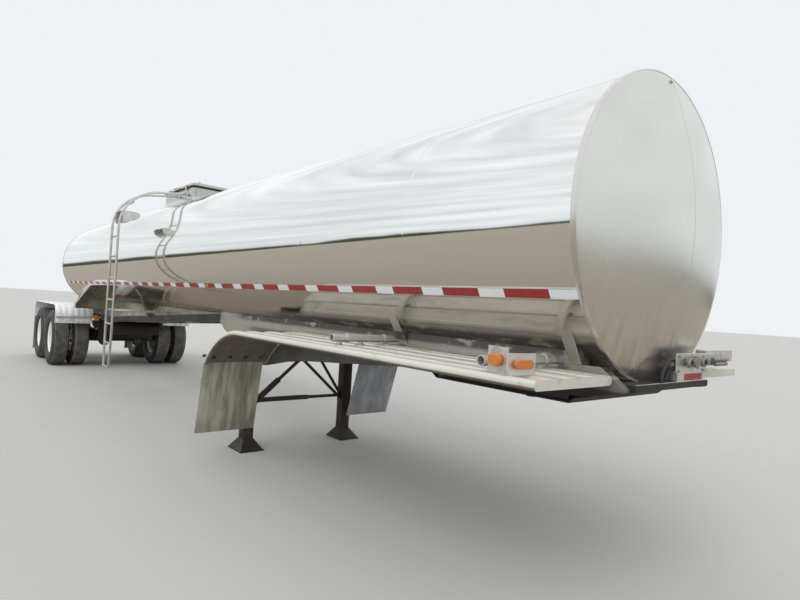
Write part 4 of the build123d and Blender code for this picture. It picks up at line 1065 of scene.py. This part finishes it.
def build_rear_trim():
    """Lamp grommets, the outlet's bolts and cap, and the brake chambers' rings and camshafts."""
    rubber = bmesh.new()
    for y in (-0.920, -0.760, -0.600, 0.600, 0.760, 0.920):
        lathe(rubber, GROMMET, (0, y, LAMP_Z), (1, 0, 0), 48, closed=True)
    add_piece("lamp_grommets", rubber, "seal_rubber")
    zinc, cast = bmesh.new(), bmesh.new()
    angles = [(spot + 0.5) * math.pi / 4 for spot in range(8)]
    spots = [(-6.330, FLANGE_BOLTS * math.cos(angle), OUTLET_Z + FLANGE_BOLTS * math.sin(angle))
             for angle in angles]
    bolts(zinc, spots, (-1, 0, 0), 0.017, 0.010)
    lathe(cast, OUTLET_CAP, (0, 0, OUTLET_Z), (1, 0, 0), 40)
    rod(cast, (-6.436, -0.020, OUTLET_Z), (-6.436, 0.020, OUTLET_Z), 0.004, 12)
    for out in SIDES.values():
        block(cast, (-6.418, out * 0.0655, OUTLET_Z), (0.020, 0.011, 0.022), bevel=0.003)
        block(cast, (-6.398, out * 0.0735, OUTLET_Z), (0.066, 0.005, 0.018), bevel=0.002)
    for x in AXLE_X.values():
        for out in SIDES.values():
            lathe(cast, CLAMP_RING, (x + 0.205, out * 0.300, CHAMBER_Z), (1, 0, 0), 48, closed=True)
            lathe(cast, CHAMBER_END, (x + 0.280, out * 0.300, CHAMBER_Z), (1, 0, 0), 48)
            rod(cast, (x + 0.100, out * 0.310, 0.476), (x + 0.100, out * 0.672, 0.476), 0.017, 20)
    add_piece("outlet_bolts", zinc, "bolt_zinc")
    add_piece("brake_chambers", cast, "hub_dark", (), 38)


FOOT_PIN_Z = 0.138


def build_leg_trim():
    """Flange bolts, foot pins and the gearbox bolts of the landing gear."""
    bm = bmesh.new()
    for out in SIDES.values():
        for x in (LEG_X - 0.066, LEG_X + 0.066):
            spots = [(x, out * 0.514, z) for z in (0.895, 0.960, 1.025)]
            bolts(bm, spots, (0, out, 0), 0.013, 0.009, False)
        ends = [(LEG_X, out * (LEG_Y + reach), FOOT_PIN_Z) for reach in (-0.064, 0.064)]
        rod(bm, *ends, 0.011, 16)
    for x in (LEG_X - 0.048, LEG_X + 0.048):
        bolts(bm, [(x, -LEG_Y - 0.117, z) for z in (0.676, 0.760, 0.844)], (0, -1, 0), 0.013, 0.007)
    add_piece("leg_bolts", bm, "hub_dark")


def build_rail_strips():
    """Dark strips along the lower edge of the rear rails' outer faces."""
    bm = bmesh.new()
    low = [(1.590, 1.188), (-3.300, 0.901), (-6.418, 0.901)]
    for out in SIDES.values():
        outline = low + [(x, z + 0.090) for x, z in reversed(low)]
        plate(bm, [(x, out * (FRAME_Y + 0.0302), z) for x, z in outline], (0, out * 0.0030, 0))
    add_piece("rail_strips", bm, "dark_steel")


def build_floor():
    """A wide pale floor, which isn't part of the object."""
    bm = bmesh.new()
    bmesh.ops.create_grid(bm, x_segments=1, y_segments=1, size=220)
    mesh = to_mesh("floor", bm)
    floor = bpy.data.objects.new("floor", mesh)
    scene.collection.objects.link(floor)
    f = Finish("floor_pale", (0.60, 0.585, 0.56), 0.0, 0.9)
    mirrored = f.node("ShaderNodeLightPath", {}).outputs["Is Glossy Ray"]
    f.colour(f.tint(mirrored, (0.50, 0.49, 0.47), (0.34, 0.300, 0.243)))
    mesh.materials.append(f.material)


# What the barrel mirrors, from straight down to straight up: place on the ramp, colour
SKY = [(0.0, (0.45, 0.42, 0.38)), (0.470, (0.45, 0.42, 0.38)), (0.472, (0.050, 0.055, 0.042)),
       (0.507, (0.085, 0.100, 0.066)), (0.5095, (0.86, 0.90, 0.92)), (0.56, (1.00, 1.05, 1.06)),
       (0.70, (0.98, 1.02, 1.03)), (0.85, (1.02, 1.05, 1.07)), (1.0, (1.08, 1.09, 1.10))]
BACKGROUND = (0.86, 0.88, 0.90)


def build_light():
    """A soft cloudy sky over a dark uneven hedge, seen only in reflections, and one soft sun."""
    world = bpy.data.worlds.new("studio")
    scene.world = world
    world.use_nodes = True
    tree = world.node_tree
    place = tree.nodes.new("ShaderNodeTexCoord").outputs["Generated"]

    def streaks(stretch, scale, detail):
        at = add_node(tree, "ShaderNodeMapping", {"Vector": place, "Scale": (1.0, 1.0, stretch)})
        inputs = {"Vector": at.outputs["Vector"], "Scale": scale, "Detail": detail}
        return add_node(tree, "ShaderNodeTexNoise", inputs).outputs["Fac"]

    def spread(value, low, high, to_low, to_high):
        inputs = {"Value": value, "From Min": low, "From Max": high, "To Min": to_low,
                  "To Max": to_high}
        return add_node(tree, "ShaderNodeMapRange", inputs).outputs["Result"]

    drop = spread(streaks(0.01, 7.0, 4.0), 0.35, 0.62, 0.006, -0.018)
    up = add_node(tree, "ShaderNodeSeparateXYZ", {"Vector": place}).outputs["Z"]
    height = add_node(tree, "ShaderNodeMath", {0: up, 1: drop}, operation="ADD").outputs[0]
    ramp = add_node(tree, "ShaderNodeValToRGB", {"Fac": spread(height, -1, 1, 0, 1)})
    while len(ramp.color_ramp.elements) < len(SKY):
        ramp.color_ramp.elements.new(0.5)
    for element, (position, colour) in zip(ramp.color_ramp.elements, SKY):
        element.position = position
        element.color = (*colour, 1)
    veil = spread(streaks(8.0, 2.6, 5.0), 0.3, 0.7, 0.80, 1.10)
    sky = add_node(tree, "ShaderNodeMix", {0: 1.0, 6: ramp.outputs["Color"], 7: veil},
                   data_type="RGBA", blend_type="MULTIPLY")
    to_camera = tree.nodes.new("ShaderNodeLightPath").outputs["Is Camera Ray"]
    seen = add_node(tree, "ShaderNodeMix", {0: to_camera, 6: sky.outputs[2], 7: BACKGROUND},
                    data_type="RGBA")
    tree.links.new(seen.outputs[2], tree.nodes["Background"].inputs["Color"])
    lamp = bpy.data.lights.new("soft_sun", "SUN")
    lamp.energy = 1.15
    lamp.angle = math.radians(40)
    sun = bpy.data.objects.new("soft_sun", lamp)
    scene.collection.objects.link(sun)
    sun.rotation_euler = (math.radians(44), math.radians(20), 0)
    sun.visible_glossy = False


set_view()
build_barrel()
build_heads()
build_tape()
build_wheels()
build_springs()
build_coupler_trim()
build_flap_fixings()
build_markers()
build_rail_strips()
build_ladder()
build_couplings()
build_housing_trim()
build_rear_trim()
build_leg_trim()

# CAD nodes whose shape is kept, and how far their edges are rounded
BEVELS = {
    "manhole_housing": 0.002, "housing_lid": 0.003, "manway_neck": 0.002, "manway_cover": 0.003,
    "ladder_drop": 0.0, "frame_rails": 0.003, "bolsters": 0.003, "spring_hangers": 0.003,
    "axle_front": 0.003, "axle_rear": 0.003, "fender_poles": 0.001, "rear_flaps": 0.002,
    "rear_fender_right": 0.002, "rear_fender_left": 0.002, "front_fender_right": 0.002,
    "front_fender_left": 0.002, "front_flaps": 0.002, "front_frame": 0.003, "coupler_box": 0.002,
    "coupler_plate": 0.003, "king_pin": 0.001, "front_cradle": 0.003, "nose_box": 0.003,
    "gladhand_bracket": 0.0015, "air_hoses": 0.0, "fender_arms": 0.001, "lamp_bracket": 0.001,
    "marker_lamps": 0.006, "legs": 0.004, "leg_braces": 0.003, "crank": 0.003, "air_tanks": 0.008,
    "outlet": 0.002, "bumper": 0.003, "tail_lamps": 0.005,
}
for node, bevel in BEVELS.items():
    dress(node, "arm_zinc" if node == "fender_arms" else NODE_SLOT[node], bevel)

build_floor()
build_light()
scene.view_settings.view_transform = "Standard"
